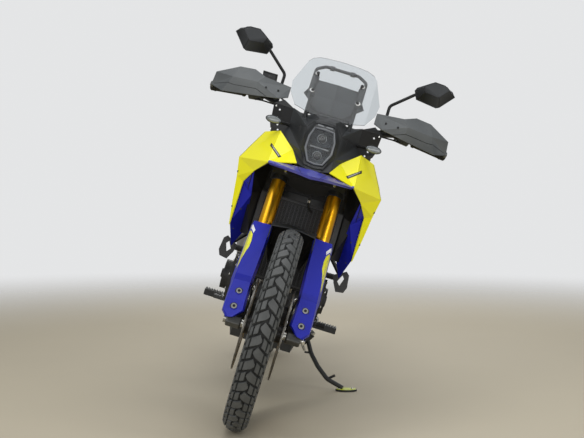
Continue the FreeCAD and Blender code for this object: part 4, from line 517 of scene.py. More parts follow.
# Fork guards: yellow and white stripe, deep-socket bolts, each with painted recess shade: a dark ring round
# it and a dark fill in its socket
guardStripe = {
    "white": [((129.4, 340), (148, 368)), ((132.6, 327), (148, 349))],
    "yellow": [((133.4, 321), (149, 344)), ((130.8, 297), (150, 317)), ((132, 270), (151, 284)),
               ((138, 250), (152, 241)), ((146.7, 200), (152, 190))],
    "bolts": [(116, 94), (116.5, 33)],
}
stripes = [(label, both(decal("fork_guards", forkLow, flat(guardStripe[row], -150), toBack, 0.8, 16, 4)))
           for label, row in (("whiteStripe", "white"), ("lemonStripe", "yellow"))]
heads = []
for x, z in guardStripe["bolts"]:
    seat = onto("fork_guards", forkLow, (x, -150, z), toBack)
    # painted shade: this dark ring stands for the shadow in the recess round the bolt
    washer = lathe([(-1, 13.5), (0.4, 13.5), (0.5, 11.2), (-1, 11)], seat, toFront, 30, capped=False)
    heads += [("blackPowder", both(washer)), ("zincBolt", both(bolt(seat, toFront, 10, 6))),
              # painted shade: a dark fill deep in the bolt's socket
              ("blackAndShade", both(lathe([(0, 5.3), (4.4, 5.3)], seat, toFront, 6)))]
piece("guard_stripes", "steering", forkLow, stripes)
piece("guard_bolts", "steering", forkLow, heads)

# Clamps: pinch bolts, the stem nut and the fork caps with their adjusters
pinchWay = (0.2, -1, 0)
clampParts = [("zincBolt", both(bolt((91, -61.6, z), pinchWay, size, size)))
              for z, size in ((12, 6), (29, 6), (196, 5), (216, 5))]
stemNut = [(0, 19), (6, 19), (8, 17, 1), (14, 17, 1), (14, 9), (10, 8)]
forkCap = [(-4, 20), (0.3, 22), (5, 21), (5, 15, 1), (9, 14, 1), (9, 6), (6, 5)]
clampParts += [("zincBolt", [lathe(stemNut, (0, 0, 226), toTop, 36, 6)]),
               ("goldAnodised", both(lathe(forkCap, (105, -30, 232), toTop, 30, 6)))]
piece("clamp_bolts", "steering", forkTop, clampParts, bevel=0.4)

# Wiper seals at the feet of the gold tubes
sealShape = [(-9, 24.5), (-8, 26), (-3, 26.8), (0.5, 26.9), (0.5, 22), (-9, 22)]
seals = both(lathe(sealShape, (105, -30, 330), toTop, 40))
piece("fork_seals", "steering", forkLow, [("ribbedRubber", seals)], bevel=0.4)

# Brake hoses, clipped down the backs of the fork tubes
downTube = [(105, -2, 560), (104, 0, 420), (102, -2, 300), (92, 10, 210), (80, 4, 150), (76, -4, 118)]
underClamp = [(105, -2, 560), (80, 2, 640), (42, 8, 672), (14, 20, 676)]
brakeLines = both(hose(downTube, 3.2), hose(underClamp, 3.2))
piece("brake_hoses", "steering", forkLow, [("ribbedRubber", brakeLines)])
collarShape = [(-22, 27.2), (-21, 29.2), (-9, 29.2), (-7.5, 28.4), (0, 28.4), (0, 26.8)]
collars = both(lathe(collarShape, (105, -30, 0), toTop, 40, capped=False))
piece("tube_collars", "steering", forkTop, [("blackPowder", collars)], bevel=0.4)


# Front wheel: drilled discs with floating buttons, spoke nipples, calipers with their pistons and bolts
def onDisc(x, reach, angle):
    return Vector((x, reach * cos(angle), reach * sin(angle)))


def discParts(radius, x, side):
    face = x + side * 2.5
    parts = {"blackAndShade": [], "zincBolt": [], "groundSteel": []}
    for k in range(60):
        for way in (-1, 1):
            spot = onDisc(x + way * 2.45, radius - (7, 17, 27)[k % 3], 2 * pi * k / 60)
            parts["blackAndShade"].append(lathe([(0, 3.4), (0.25, 3.4)], spot, (way, 0, 0), 12))
    for k in range(10):
        spot = onDisc(face - side * 0.5, radius - 33, 2 * pi * (k + 0.5) / 10)
        button = [(0, 7.5), (2, 7.5), (2.6, 6.6), (2.6, 3.4), (1, 3)]
        parts["groundSteel"].append(lathe(button, spot, (side, 0, 0), 18))
    for k in range(5):
        spot = onDisc(face - side * 0.3, 50, 2 * pi * (k + 0.5) / 5)
        parts["zincBolt"].append(bolt(spot, (side, 0, 0), 6, 4.5))
    return list(parts.items())


def nipples(reach):
    made = []
    for side, lead in ((s, l) for s in (-1, 1) for l in (-1, 1)):
        for k in range(9):
            angle = radians(10 * (side + 1) + 5 * lead + 42 * lead + 40 * k)
            made.append(lathe([(-16, 2.6), (-15, 3.2), (-2, 3.2), (0, 3.9), (3, 3.9)],
                              onDisc(side * 7, reach, angle), onDisc(0, 1, angle), 8))
    return made


piece("front_disc_details", "front_wheel", frontWheel,
      discParts(155, 64, 1) + discParts(155, -64, -1) + [("zincBolt", nipples(246))])
piece("rear_disc_details", "rear_wheel", rearWheel, discParts(130, -72, -1) + [("zincBolt", nipples(198))])

caliperTurn = forkLow @ Matrix.Translation((0, -62.6, 0)) @ Matrix.Rotation(radians(40), 4, "X")
pistonCap = [(0, 15), (4, 15), (6, 13), (6, 5), (5, 4)]
hoseUnion = [(0, 7), (3, 7), (3, 6, 1), (9, 6, 1)]
caliper = [("blackPowder", both(*[lathe(pistonCap, (80, 132, y), toLeft, 30) for y in (-20, 20)])),
           ("zincBolt", both(*[bolt((80, 162, y), toLeft, 4.5, 4) for y in (-34, 0, 34)])),
           ("zincBolt", both(*[bolt((74, 172, y), toBack, 4, 4) for y in (-16, 16)])),
           ("zincBolt", both(lathe(hoseUnion, (76, 150, 44), toTop, 24, 6)))]
piece("front_caliper_details", "steering", caliperTurn, caliper, bevel=0.4)
axleBolt = [(0, 14), (3, 14), (4, 12, 1), (10, 12, 1), (10, 6), (6, 5.6)]
axleEnds = [("zincBolt", [lathe(axleBolt, (135, 0, 0), toLeft, 36, 6)])]
piece("front_axle_nut", "steering", frontWheel, axleEnds, bevel=0.4)
print("fork and front wheel details made")


# Lamp unit: grey frame, two faceted bowls with their lenses, a bar between and a clear cover
def lampPlane(x, z, sink=0.0):
    return Vector((x, -596 - (1061 - z) * 0.407 + sink, z))


def bowl(rim, centre, lensRadius, sink):
    outer = [lampPlane(x, z, 6) for x, z in rim]
    throat = []
    for x, z in rim:
        away = Vector((x - centre[0], 0, z - centre[1])).normalized() * lensRadius
        throat.append(lampPlane(centre[0] + away.x, centre[1] + away.z, sink))
    return loft([outer, throat], capped=False)


def lampBar(sink, deep, corners):
    return plate([lampPlane(x, z, sink) for x, z in corners], (0, deep, 0))


def symmetric(points):
    return [(x, z) for x, z in points] + [(-x, z) for x, z in reversed(points) if x > 0.01]


lampLoop = symmetric([(0, 1060), (37, 1056), (48, 1021), (49, 977), (27, 931), (0, 927)])
upperRim = symmetric([(0, 1052), (32, 1050), (40, 1030), (38, 1003), (20, 996), (0, 995)])
lowerRim = symmetric([(0, 984), (20, 983), (40, 974), (36, 962), (22, 938), (0, 934)])
lensSpots = ((1023, 14.5, upperRim), (960, 14.0, lowerRim))
frameLine = [lampPlane(x * 0.965, 1000 + (z - 1000) * 0.965, -1.5) for x, z in lampLoop]
lampBack = [lampPlane(x * 0.98, z, 13) for x, z in lampLoop]
lampTail = [Vector((x * 0.86, -562, 1003 + (z - 1000) * 0.78)) for x, z in lampLoop]
lampParts = [("lampGrey", hose(frameLine, 4.0, 8, 0, True)),
             ("blackAndShade", loft([lampBack, lampTail])),
             ("blackGrain", lampBar(4, 8, ((-41, 986), (41, 986), (39, 994), (-39, 994)))),
             ("satinGrey", lampBar(1.5, 3, ((-34, 986.5), (34, 986.5), (33, 991), (-33, 991))))]
for height, radius, rim in lensSpots:
    seat, beam = lampPlane(0, height, 12), (0, -1, 0.1)
    ring = [(-2, radius + 2.6), (3, radius + 2.6), (4, radius + 0.6), (-2, radius)]
    dome = [(-1, radius), (1, radius), (5, radius * 0.86), (8, radius * 0.6), (9.5, radius * 0.28),
            (9.8, 0.4)]
    lampParts += [("smokedChrome", bowl(rim, (0, height), radius + 2.5, 11)),
                  ("satinGrey", lathe(ring, seat, beam, 36, capped=False)),
                  ("lensGlass", lathe(dome, seat, beam, 36))]
onChassis("headlight_visual", lampParts, replaces=("headlight",), bevel=0.5)
coverRing = [lampPlane(x * 0.95, 1000 + (z - 1000) * 0.95, -1) for x, z in lampLoop]
onChassis("headlight_cover", [("clearLens", plate(coverRing, (0, 2, 0)))])
positionBar = plate([onto("headlight_cowl", upright, (x, -760, z), toBack) - Vector((0, 1.6, 0)) for x, z in
                     ((-29, 1066), (28, 1066), (27, 1072), (-28, 1072))], (0, 3, 0))
onChassis("position_bar", [("lampGrey", positionBar)], bevel=0.6)
# raised six-sided rim of the cowl round the lamp
rimInner = symmetric([(0, 1077), (34, 1074), (53, 1024), (53, 982), (31, 928), (0, 923)])
rimOuter = symmetric([(0, 1088), (41, 1084), (63, 1028), (62, 979), (36, 920), (0, 914)])
rimRows = [((x, -760, z), (u, -760, w))
           for (x, z), (u, w) in zip(rimInner + rimInner[:1], rimOuter + rimOuter[:1])]
onChassis("lamp_bezel", [("blackGrain", decal("headlight_cowl", upright, rimRows, toBack, 5.0, 2, 3))],
          bevel=0.8)

# Screen fixings: white washers, screws and the flat straps that carry them
screenOut = Vector((0, -0.891, 0.454))


def onScreen(x, z, off=0.0):
    # beside the fixing, because the sheet is drilled at the fixing itself
    left, right = [onto("windscreen", upright, (x + beside, -700, z), toBack) for beside in (-14, 14)]
    return (left + right) / 2 + screenOut * off


fixings = []
for x, z, radius in ((86, 1190, 8.5), (87, 1257, 6.5)):
    for hand in (-1, 1):
        seat = onScreen(hand * x, z)
        washer = [(-0.5, radius), (1.6, radius), (2.2, radius - 0.7)]
        fixings += [("whiteStripe", lathe(washer, seat, screenOut, 30)),
                    ("blackPowder", bolt(seat + screenOut * 2, screenOut, radius * 0.62, 4))]
for hand in (-1, 1):
    strap = [onScreen(hand * x, z, -4.2) for x, z in ((80, 1180), (92, 1180), (93, 1266), (81, 1266))]
    fixings.append(("blackPowder", plate(strap, screenOut * -3)))
onChassis("screen_fixings", fixings)


# Turn signals: oval lamps on ribbed flexible stalks
def ellipse(centre, wide, tall):
    return circle(centre, Vector(toLeft), Vector((0, 0, tall / wide)), wide, 36)


def signal(x, z, shell, lens):
    for label, rows in (("blackGrain", shell), ("signalLens", lens)):
        signals.append((label, loft([ellipse((x, y, z), wide, tall) for y, wide, tall in rows])))


signals = []
frontShell = ((-462, 9, 6), (-466, 20, 10), (-476, 28, 13.4), (-490, 30, 14.6), (-494, 30, 14.6),
              (-494, 27.5, 12.2), (-490, 27, 11.8))
frontLens = ((-488, 27.2, 12), (-495, 27, 11.8), (-499, 22, 9.2), (-500.5, 12, 5))
rearShell = ((1083, 8, 6), (1087, 18, 10), (1097, 21, 13.4), (1110, 22, 14), (1114, 21.6, 13.6),
             (1114, 19.6, 11.6), (1110, 19, 11.4))
rearLens = ((1109, 19.2, 11.5), (1114, 19, 11.3), (1117, 14, 8), (1118, 8, 4))
stalk = [(k * 5.2 + d, r) for k in range(9) for d, r in ((0, 5.2), (1.4, 6.6), (3.2, 6.6), (4.6, 5.2))]
for hand in (-1, 1):
    signal(hand * 189, 1047, frontShell, frontLens)
    signals.append(("ribbedRubber", lathe(stalk, (hand * 131, -436, 1047.5), (hand * 0.8, -0.6, 0), 16)))
    signal(hand * 150, 668, rearShell, rearLens)
onChassis("turn_signals_visual", signals, replaces=("turn_signals",), bevel=0.3)
print("nose details made")

# Radiator: fin core between flat tubes, end tanks with their seams
coreRise, coreOut = Vector((0, 52, 316)).normalized(), Vector((0, -316, 52)).normalized()


def onCore(label, corners, thick, x=0.0, z=0.0):
    outline = [Vector((x + dx, -436, 474)) + coreRise * (z + dz) for dx, dz in corners]
    radiator.append((label, plate(outline, coreOut * thick)))


radiator = []
for k in range(20):
    onCore("radiatorTube", ((-1.6, 14), (1.6, 14), (1.6, 304), (-1.6, 304)), 1.2, -133 + 14 * k)
for hand in (-1, 1):
    onCore("blackPowder", [(hand * x, z) for x, z in ((140, 4), (158, 4), (158, 316), (140, 316))], 5)
for z in (5, 310):
    onCore("blackPowder", ((-140, 0), (140, 0), (140, 6), (-140, 6)), 4, 0, z)
for k in range(19):
    for row in range(41):
        for fin in (((2, 0), (12, 3.4), (12, 4.4), (2, 1)), ((12, 3.6), (2, 7), (2, 7.9), (12, 4.6))):
            onCore("finMetal", fin, 0.9, -133 + 14 * k, 15 + 7 * row)
onChassis("radiator_core", radiator)
upperHose = [(118, -366, 778), (112, -320, 806), (96, -290, 800), (86, -262, 770)]
lowerHose = [(-122, -395, 520), (-128, -350, 500), (-118, -290, 480), (-100, -240, 462)]
overflow = [(20, -424, 826), (21, -418, 799), (30, -396, 772), (62, -376, 760), (104, -350, 776)]
hoseClip = [(0, 14), (0, 15), (8, 15), (8, 14)]
overflowClip = [(0, 5), (0, 6.5), (9, 6.5), (9, 5)]
coolant = [("ribbedRubber", [hose(upperHose, 13, 16), hose(lowerHose, 13, 16), hose(overflow, 4, 10)]),
           ("zincBolt", [lathe(hoseClip, (114, -340, 797), (-0.1, 0.8, 0.6), 24, capped=False),
                         lathe(overflowClip, (20.5, -421.5, 805), (0, 0.3, -1), 20)])]
onChassis("coolant_hoses", coolant)
print("radiator made")

# Handlebar: ribbed grips, bar-end weights, switch pods with their buttons, levers' pivots, reservoir lid
barEnd, barBend = Vector((470, 146, 404)), Vector((270, 84, 392))
gripWay = (barBend - barEnd).normalized()
ribLine = [(-16, 15.5), (-14, 17), (-3, 17), (-1, 15.2), (0, 15.2), (0.5, 18), (4, 18.4), (6, 16.5)]
for k in range(17):
    ribLine += [(8 + 6.6 * k, 15.4), (9 + 6.6 * k, 16.6), (12.5 + 6.6 * k, 16.6), (13.4 + 6.6 * k, 15.4)]
ribLine += [(122, 16), (123, 19), (130, 19), (132, 17)]
gripShapes = both(lathe(ribLine, barEnd, gripWay, 30))
piece("grips_visual", "steering", forkTop, [("ribbedRubber", gripShapes)], "grip", ("grips",))
podAt = Vector((300, 93.3, 393.8))
switches = []
for hand in (1, -1):
    first = "redSwitch" if hand < 0 else "satinGrey"
    for along, tall, wide, label in ((-14, 5, 9, first), (2, 4, 8, "satinGrey"), (15, 3, 6, "blackPowder")):
        centre = podAt - gripWay * along
        low, up = centre + Vector((0, 14, 12)), Vector((0, 0.55, 0.83))
        across = gripWay * wide * 0.5
        down = up.cross(gripWay).normalized() * tall
        corners = [low - across - down, low + across - down, low + across + down, low - across + down]
        switches.append((label, sided(hand, plate(corners, up * 9))))
    for along in (-19, 19):
        screwAt = podAt - gripWay * along + Vector((0, -10, 21))
        switches.append(("zincBolt", sided(hand, bolt(screwAt, (0, -0.4, 1), 3, 2.4))))
    band = lathe([(-1.2, 23.5), (-1.2, 24.8), (1.2, 24.8), (1.2, 23.5)], podAt, gripWay, 36, capped=False)
    pivot = [bolt((262, 40, 400), toTop, 5, 4),
             lathe([(0, 8), (2, 8), (2, 4)], (262, 40, 376), (0, 0, -1), 20)]
    switches += [("blackAndShade", sided(hand, band)), ("zincBolt", [sided(hand, shape) for shape in pivot])]
switches += [("blackPowder", [slab((-294, -16, 432), (-236, 46, 436))]),
             ("blackPowder", [bolt((x, y, 436), toTop, 3, 1.6) for x in (-288, -242) for y in (-10, 40)]),
             ("blackAndShade", [lathe([(0, 7), (1.2, 7), (1.2, 5)], (-265, -15, 417), toFront, 24)])]
piece("switch_details", "steering", forkTop, switches, bevel=0.5)
riserBolts = [bolt((x, y, 322), toTop, 4.5, 5) for x in (-58, -38, 38, 58) for y in (-10, 14)]
piece("riser_bolts", "steering", forkTop, [("zincBolt", riserBolts)])
cables = [hose([(262, 42, 384), (230, 24, 358), (176, 2, 328), (112, 4, 288), (52, 30, 236)], 3.4),
          hose([(-262, 30, 404), (-226, 20, 376), (-172, 0, 334), (-112, 2, 290), (-56, 28, 236)], 3.4),
          hose([(300, 96, 372), (250, 58, 350), (180, 14, 314), (90, 16, 268), (40, 34, 236)], 3.0),
          hose([(-300, 96, 372), (-250, 58, 350), (-180, 14, 314), (-90, 16, 268), (-44, 36, 236)], 3.0)]
piece("bar_cables", "steering", forkTop, [("ribbedRubber", cables)])

# Handguards: a dark line of painted shade along the crease, two screws each and the bar-end fixing
guardLine = [(252, 322), (300, 343), (388, 356), (470, 380)]
creaseShade = []
# painted shade: a thin near-black strip laid along the fold of the guard
for (ax, az), (bx, bz) in zip(guardLine, guardLine[1:]):
    ridge = flat([((x, z - 1.1), (x, z + 1.1)) for x, z in ((ax, az), (bx, bz))], -150)
    creaseShade.append(decal("handguards", forkTop, ridge, toBack, 0.3, 1, 10))
guardScrews = []
for x, z in ((262, 352), (214, 354)):
    seat = onto("handguards", forkTop, (x, -150, z), toBack)
    guardScrews.append(bolt(seat, toFront, 4.6, 2.4))
endShape = [(-2, 12), (0, 15), (9, 15), (11, 12), (11, 6), (8, 5)]
endCap = [lathe(endShape, (476, 150, 405), (0.95, 0.3, 0.06), 30)]
guardParts = [("blackAndShade", both(*creaseShade)), ("blackPowder", both(*guardScrews)),
              ("castAlloy", both(*endCap))]
piece("handguard_details", "steering", forkTop, guardParts, bevel=0.3)

# Mirrors: glass toward the rider, and dark lines around the raised middle of the back
mirrorRim = [Vector(spot) for spot in (
    (441, -62, 542), (427, -66, 558), (405, -70, 565), (343, -72, 567), (292, -62, 532),
    (286, -58, 521), (300, -46, 492), (382, -42, 483), (393, -44, 488))]
mirrorMiddle = Vector((362, -62, 532))
glass = [mirrorMiddle + (spot - mirrorMiddle) * 0.93 + Vector((0, 0.3, 0)) for spot in mirrorRim]
rimLine = [mirrorMiddle + (spot - mirrorMiddle) * 0.985 for spot in mirrorRim]
backRing = [mirrorMiddle + (spot - mirrorMiddle) * 0.62 + Vector((0, -34.4, 0)) for spot in mirrorRim]
mirrorParts = [("mirrorGlass", both(plate(glass, (0, 1.2, 0)))),
               ("blackGrain", both(hose(rimLine, 2.4, 8, 0, True))),
               ("blackAndShade", both(hose(backRing, 0.9, 6, 0, True)))]
for k in range(0, 9, 2):
    rib = hose([backRing[k], rimLine[k] + Vector((0, -2.4, 0))], 0.8, 6, 0)
    mirrorParts.append(("blackAndShade", both(rib)))
boot = [lathe([(0, 9), (4, 11.5), (12, 11.5), (18, 8), (26, 7)], (216, 56, 372), (0, -0.83, 0.55), 24)]
mirrorParts.append(("ribbedRubber", both(*boot)))
piece("mirror_details", "steering", forkTop, mirrorParts)
print("handlebar and mirrors made")

# Dash: display glass for the rider, its buttons, and the ribbed clear wings behind the screen
dashTurn = upright @ Matrix.Translation((0, -407, 1148)) @ Matrix.Rotation(radians(-42), 4, "X")
displayFace = [Vector((x, 10.2, z))
             for x, z in ((-72, -36), (72, -36), (76, 30), (66, 38), (-66, 38), (-76, 30))]
displayEdge = [Vector((x, 10.4, z))
             for x, z in ((-78, -40), (78, -40), (80, 32), (68, 42), (-68, 42), (-80, 32))]
display = [("displayGlass", [plate(displayFace, (0, 0.8, 0))]),
           ("blackGrain", [hose(displayEdge, 2.4, 8, 0, True)]),
           ("satinGrey", [slab((x - 7, 10, -45), (x + 7, 12.5, -40)) for x in (-30, 0, 30)])]
piece("display", "chassis", dashTurn, display, "lens", bevel=0.4)
dashLine = [(114, -398, 1181), (80, -362, 1243), (-80, -362, 1243), (-114, -398, 1181), (-47, -466, 1121),
            (47, -466, 1121)]
dashRibs = [hose(dashLine, 2.6, 8, 0, True),
            hose([(0, -468, 1122), (0, -412, 1184), (0, -373, 1246)], 2.2, 8, 0)]
onChassis("dash_ribs", [("blackPowder", dashRibs)])
bandShape = [(-9, 8.6), (-8, 9.4), (8, 9.4), (9, 8.6), (9, 6), (-9, 6)]
barClamps = [lathe(bandShape, (x, -322, 1306), toLeft, 24, capped=False) for x in (-40, 40)]
barParts = [("blackPowder", barClamps), ("zincBolt", both(bolt((98, -390, 1198), (0.7, -0.7, 0.2), 5, 3)))]
onChassis("accessory_bar_clamps", barParts)


# Cowl, beak and shrouds: panel gaps as dark lines, bare slots and small screws
def seam(name, place, points, way, width):
    steps, jump = 14, 40
    runs = [[]]
    for a, b in zip(points, points[1:]):
        for step in range(steps + 1):
            spot = onto(name, place, Vector(a).lerp(Vector(b), step / steps), way, False)
            if spot and (not runs[-1] or 0.01 < (spot - runs[-1][-1]).length < jump):
                runs[-1].append(spot)
            elif not spot or (runs[-1] and (spot - runs[-1][-1]).length >= jump):
                runs.append([spot] if spot else [])
    return [hose(run, width / 2, 6, 0) for run in runs if len(run) > 2]


inFront = -900
gaps = (("headlight_cowl", 2.4, ((31, 1094), (65, 1054), (61, 963), (30, 908), (0, 903))),
        ("headlight_cowl", 1.6, ((65, 1054), (131, 1043))), ("beak", 1.6, ((53, 906), (30, 880))),
        ("upper_shrouds", 1.4, ((213, 1000), (274, 883))))
lines = [shape for name, width, points in gaps
         for shape in both(*seam(name, upright, [(x, inFront, z) for x, z in points], toBack, width))]
onChassis("panel_lines", [("blackAndShade", lines)])
badge = flat([((170.5, 962.5), (172.2, 951.5)), ((118.5, 922.5), (127.5, 916.5))], inFront)
field = flat([((164.5, 955.4), (165.1, 951.9)), ((125.4, 923.6), (128.2, 921.4))], inFront)
fields = both(decal("upper_shrouds", upright, field, toBack, 1.3, 4, 12))


def screwsOn(name, spots, radius, height):
    seats = [onto(name, upright, (x, inFront, z), toBack, False) for x, z in spots]
    return [shape for seat in seats if seat for shape in both(bolt(seat, toFront, radius, height))]


slots = both(decal("upper_shrouds", upright, badge, toBack, 0.8, 4, 16))
slots += screwsOn("upper_shrouds", ((262, 830), (247, 700)), 4.0, 1.2)
blueScrews = screwsOn("lower_shrouds", ((213, 800), (214, 700), (222, 620)), 3.4, 1.2)
screws = screwsOn("inner_panels", ((201, 1108), (203, 1064), (197, 1020)), 3.4, 1.6)
onChassis("shroud_slots", [("blackAndShade", slots), ("satinGrey", fields), ("zincBolt", screws),
                           ("blackPowder", blueScrews)])
sideGaps = (("upper_shrouds", ((-380, 1002), (-200, 1008), (-60, 940))),
            ("fuel_tank", ((-30, 846), (80, 820), (200, 808))),
            ("tail_panels", ((420, 800), (600, 816), (860, 850))))
sideLines = [shape for hand in (1, -1) for name, points in sideGaps
             for shape in seam(name, upright, [(hand * 420, y, z) for y, z in points], (-hand, 0, 0), 1.6)]
onChassis("side_panel_lines", [("blackAndShade", sideLines)])
capRing = [(0, 44), (2.6, 44), (3.4, 42), (3.4, 38.6), (0, 38.6)]
turns = [radians(30 + 60 * k) for k in range(6)]
capParts = [("blackPowder", [lathe(capRing, (0, -140, 1072), toTop, 48, capped=False)]),
            ("zincBolt", [bolt((41 * cos(a), -140 + 41 * sin(a), 1074.6), toTop, 2.6, 2) for a in turns])]
onChassis("filler_ring", capParts)
lidShape = [(0, 33), (1.6, 32), (1.6, 15), (0.8, 14), (0.8, 0.3)]
lidParts = [("castAlloy", [lathe(lidShape, (0, -140, 1081), toTop, 44)]),
            ("blackAndShade", [slab((-6, -143, 1081.6), (6, -140, 1082.2))])]
piece("fuel_cap_details", "fuel_cap", upright, lidParts, bevel=0.3)
print("bodywork lines made")


# Final drive: chain links along the belt line, toothed sprocket, coil spring of the shock absorber
def beltPath(front, frontRadius, rear, rearRadius, count):
    gap = hypot(rear[0] - front[0], rear[1] - front[1])
    slope = atan2(rear[1] - front[1], rear[0] - front[0])
    spread = acos((frontRadius - rearRadius) / gap)
    straight = sqrt(gap ** 2 - (frontRadius - rearRadius) ** 2)
    arcRear, arcFront = 2 * spread * rearRadius, (2 * pi - 2 * spread) * frontRadius
    total = 2 * straight + arcRear + arcFront

    def at(distance):
        distance %= total
        if distance < straight or straight + arcRear <= distance < 2 * straight + arcRear:
            returning = distance >= straight
            share = (distance - (straight + arcRear if returning else 0)) / straight
            angle = slope - spread if returning else slope + spread
            ends = [(front, frontRadius), (rear, rearRadius)]
            (c, r), (d, s) = reversed(ends) if returning else ends
            return (c[0] + r * cos(angle)) * (1 - share) + (d[0] + s * cos(angle)) * share, \
                (c[1] + r * sin(angle)) * (1 - share) + (d[1] + s * sin(angle)) * share
        if distance < straight + arcRear:
            angle = slope + spread - (distance - straight) / rearRadius
            return rear[0] + rearRadius * cos(angle), rear[1] + rearRadius * sin(angle)
        angle = slope - spread - (distance - 2 * straight - arcRear) / frontRadius
        return front[0] + frontRadius * cos(angle), front[1] + frontRadius * sin(angle)

    return [at(total * k / count) for k in range(count)]


chain = {"x": 89.0, "front": (108.0, 418.0), "rear": (785.0, 320.9), "frontRadius": 41.5,
         "rearRadius": 106.0, "links": 116}
pins = beltPath(chain["front"], chain["frontRadius"], chain["rear"], chain["rearRadius"], chain["links"])
parts = {"chainSteel": [], "goldLink": []}
for k, (y, z) in enumerate(pins):
    ny, nz = pins[(k + 1) % len(pins)]
    way = Vector((0, ny - y, nz - z)).normalized()
    up = Vector((0, -way.z, way.y))
    length = hypot(ny - y, nz - z)
    outline = []
    for centre, start in ((Vector((0, ny, nz)), -90), (Vector((0, y, z)), 90)):
        outline += [centre + (way * cos(a) + up * sin(a)) * 6.6
                    for a in [radians(start + 30 * i) for i in range(7)]]
    outline[6:8] = [outline[6], Vector((0, (y + ny) / 2, (z + nz) / 2)) + up * 5.0, outline[7]]
    outline.append(Vector((0, (y + ny) / 2, (z + nz) / 2)) - up * 5.0)
    x = 6.6 if k % 2 else 4.8
    for hand in (-1, 1):
        shifted = [spot + Vector((chain["x"] + hand * x - 0.7, 0, 0)) for spot in outline]
        parts["goldLink" if k % 2 else "chainSteel"].append(plate(shifted, (1.4, 0, 0)))
    parts["chainSteel"].append(rod((chain["x"] - 4, y, z), (chain["x"] + 4, y, z), 5, 10))
    parts["chainSteel"].append(rod((chain["x"] - 7, y, z), (chain["x"] + 7, y, z), 2.4, 8))
onChassis("drive_chain_visual", list(parts.items()), replaces=("drive_chain",), sharp=40)


def toothed(teeth, root, tip):
    ring = []
    for k in range(teeth):
        for share, reach in ((0, root), (0.18, root + 1), (0.34, tip), (0.5, tip + 0.3), (0.66, tip),
            (0.82, root + 1)):
            angle = 2 * pi * (k + share) / teeth
            ring.append((reach * cos(angle), reach * sin(angle)))
    return ring


def ringPlate(outer, inner, x, thick):
    bore = []
    for a, b in outer:
        away = hypot(a, b)
        bore.append((a / away * inner, b / away * inner))
    return loft([[(x, *spot) for spot in outer], [(x + thick, *spot) for spot in outer],
                 [(x + thick, *spot) for spot in bore], [(x, *spot) for spot in bore]], False, True)


carrier = [(0, 63), (14, 63), (17, 58), (17, 34), (9, 30), (9, 14.4), (0, 14.4)]
sprocketParts = [("castAlloy", [ringPlate(toothed(42, 101, 108), 62, 85.5, 7)]),
                 ("blackPowder", [lathe(carrier, (76, 0, 0), toLeft, 48, capped=False)])]
for k in range(5):
    a = radians(36 + 72 * k)
    sprocketParts.append(("zincBolt", [bolt((92.5, 54 * cos(a), 54 * sin(a)), toLeft, 6.5, 6)]))
for k in range(10):
    a = radians(36 * k)
    hole = lathe([(0, 8), (0.4, 8)], (92.4, 80 * cos(a), 80 * sin(a)), toLeft, 20)
    sprocketParts.append(("blackAndShade", [hole]))
piece("rear_sprocket_details", "rear_wheel", rearWheel, sprocketParts)

shockTop, shockFoot = Vector((0, 163, 640)), Vector((0, 296, 450))
shockWay = (shockTop - shockFoot).normalized()
shockLong = (shockTop - shockFoot).length
coil = []
coilAcross, coilUp = basis(shockWay)[1:]
for k in range(109):
    angle = 2 * pi * k / 12
    along = 44 + (shockLong - 104) * k / 108
    coil.append(shockFoot + shockWay * along + (coilAcross * cos(angle) + coilUp * sin(angle)) * 28)


def onShock(profile, base=0.0):
    return [lathe([(base + along, radius) for along, radius in profile], shockFoot, shockWay, 36)]


def eye(centre, half, radius):
    return rod(centre - Vector((half, 0, 0)), centre + Vector((half, 0, 0)), radius, 30, 2)


damper = [(16, 18), (36, 18), (38, 33.5), (43, 33.5), (44, 18), (shockLong - 40, 18)]
springCollar = [(-58, 20), (-58, 33), (-52, 33.6), (-50, 30), (-46, 30), (-44, 20)]
preloadKnob = [(-44, 22), (-42, 27), (-16, 27), (-14, 22)]
shockParts = [("springYellow", [hose(coil, 5.6, 10, 0)]),
              ("castAlloy", onShock(damper)),
              ("goldAnodised", onShock(springCollar, shockLong)),
              ("blackPowder", onShock(preloadKnob, shockLong)),
              ("castAlloy", [eye(shockTop, 16, 19), eye(shockFoot + shockWay * 14, 14, 12.5)])]
onChassis("rear_shock_visual", shockParts, replaces=("rear_shock",))

# Swingarm: chain adjusters, axle nuts, pivot caps; rear caliper's bolts and hose
armParts = []
axleNut = [(0, 19), (3, 19), (4, 17, 1), (13, 17, 1), (13, 9), (9, 8)]
pivotNut = [(0, 17), (3, 17), (5, 14, 1), (11, 14, 1), (11, 7), (8, 7)]
for hand in (1, -1):
    skinX = (127, 128.4) if hand > 0 else (-128.4, -127)
    adjuster = [(hand * 128.2, y, z) for y, z in ((760, 305), (842, 305), (842, 338), (760, 338))]
    pusher = lathe([(0, 7), (8, 7, 1), (26, 4)], (hand * 116, 836, 321), toBack, 24, 6)
    armParts += [("castAlloy", plate(adjuster, (hand * 2.6, 0, 0))),
                 ("zincBolt", [pusher, lathe(axleNut, (hand * 128, 785, 320.9), (hand, 0, 0), 36, 6)]),
                 ("zincBolt", lathe(pivotNut, (hand * 172, 205, 420), (hand, 0, 0), 36, 6)),
                 ("blackAndShade", slab((skinX[0], 400, 352), (skinX[1], 620, 356)))]
onChassis("swingarm_details", armParts, bevel=0.4)
rearLine = [(-90, 668, 440), (-96, 560, 400), (-112, 420, 398), (-134, 300, 400), (-150, 214, 372)]
rearBrake = [("zincBolt", [bolt((-94, 691, z), (-1, 0, 0), 5, 4) for z in (398, 434)]),
             ("blackPowder", [lathe([(0, 17), (5, 17), (7, 14), (7, 5)], (-94, 692, 416), (-1, 0, 0), 30)]),
             ("ribbedRubber", [hose(rearLine, 3.2)])]
onChassis("rear_caliper_details", rearBrake)
print("final drive made")

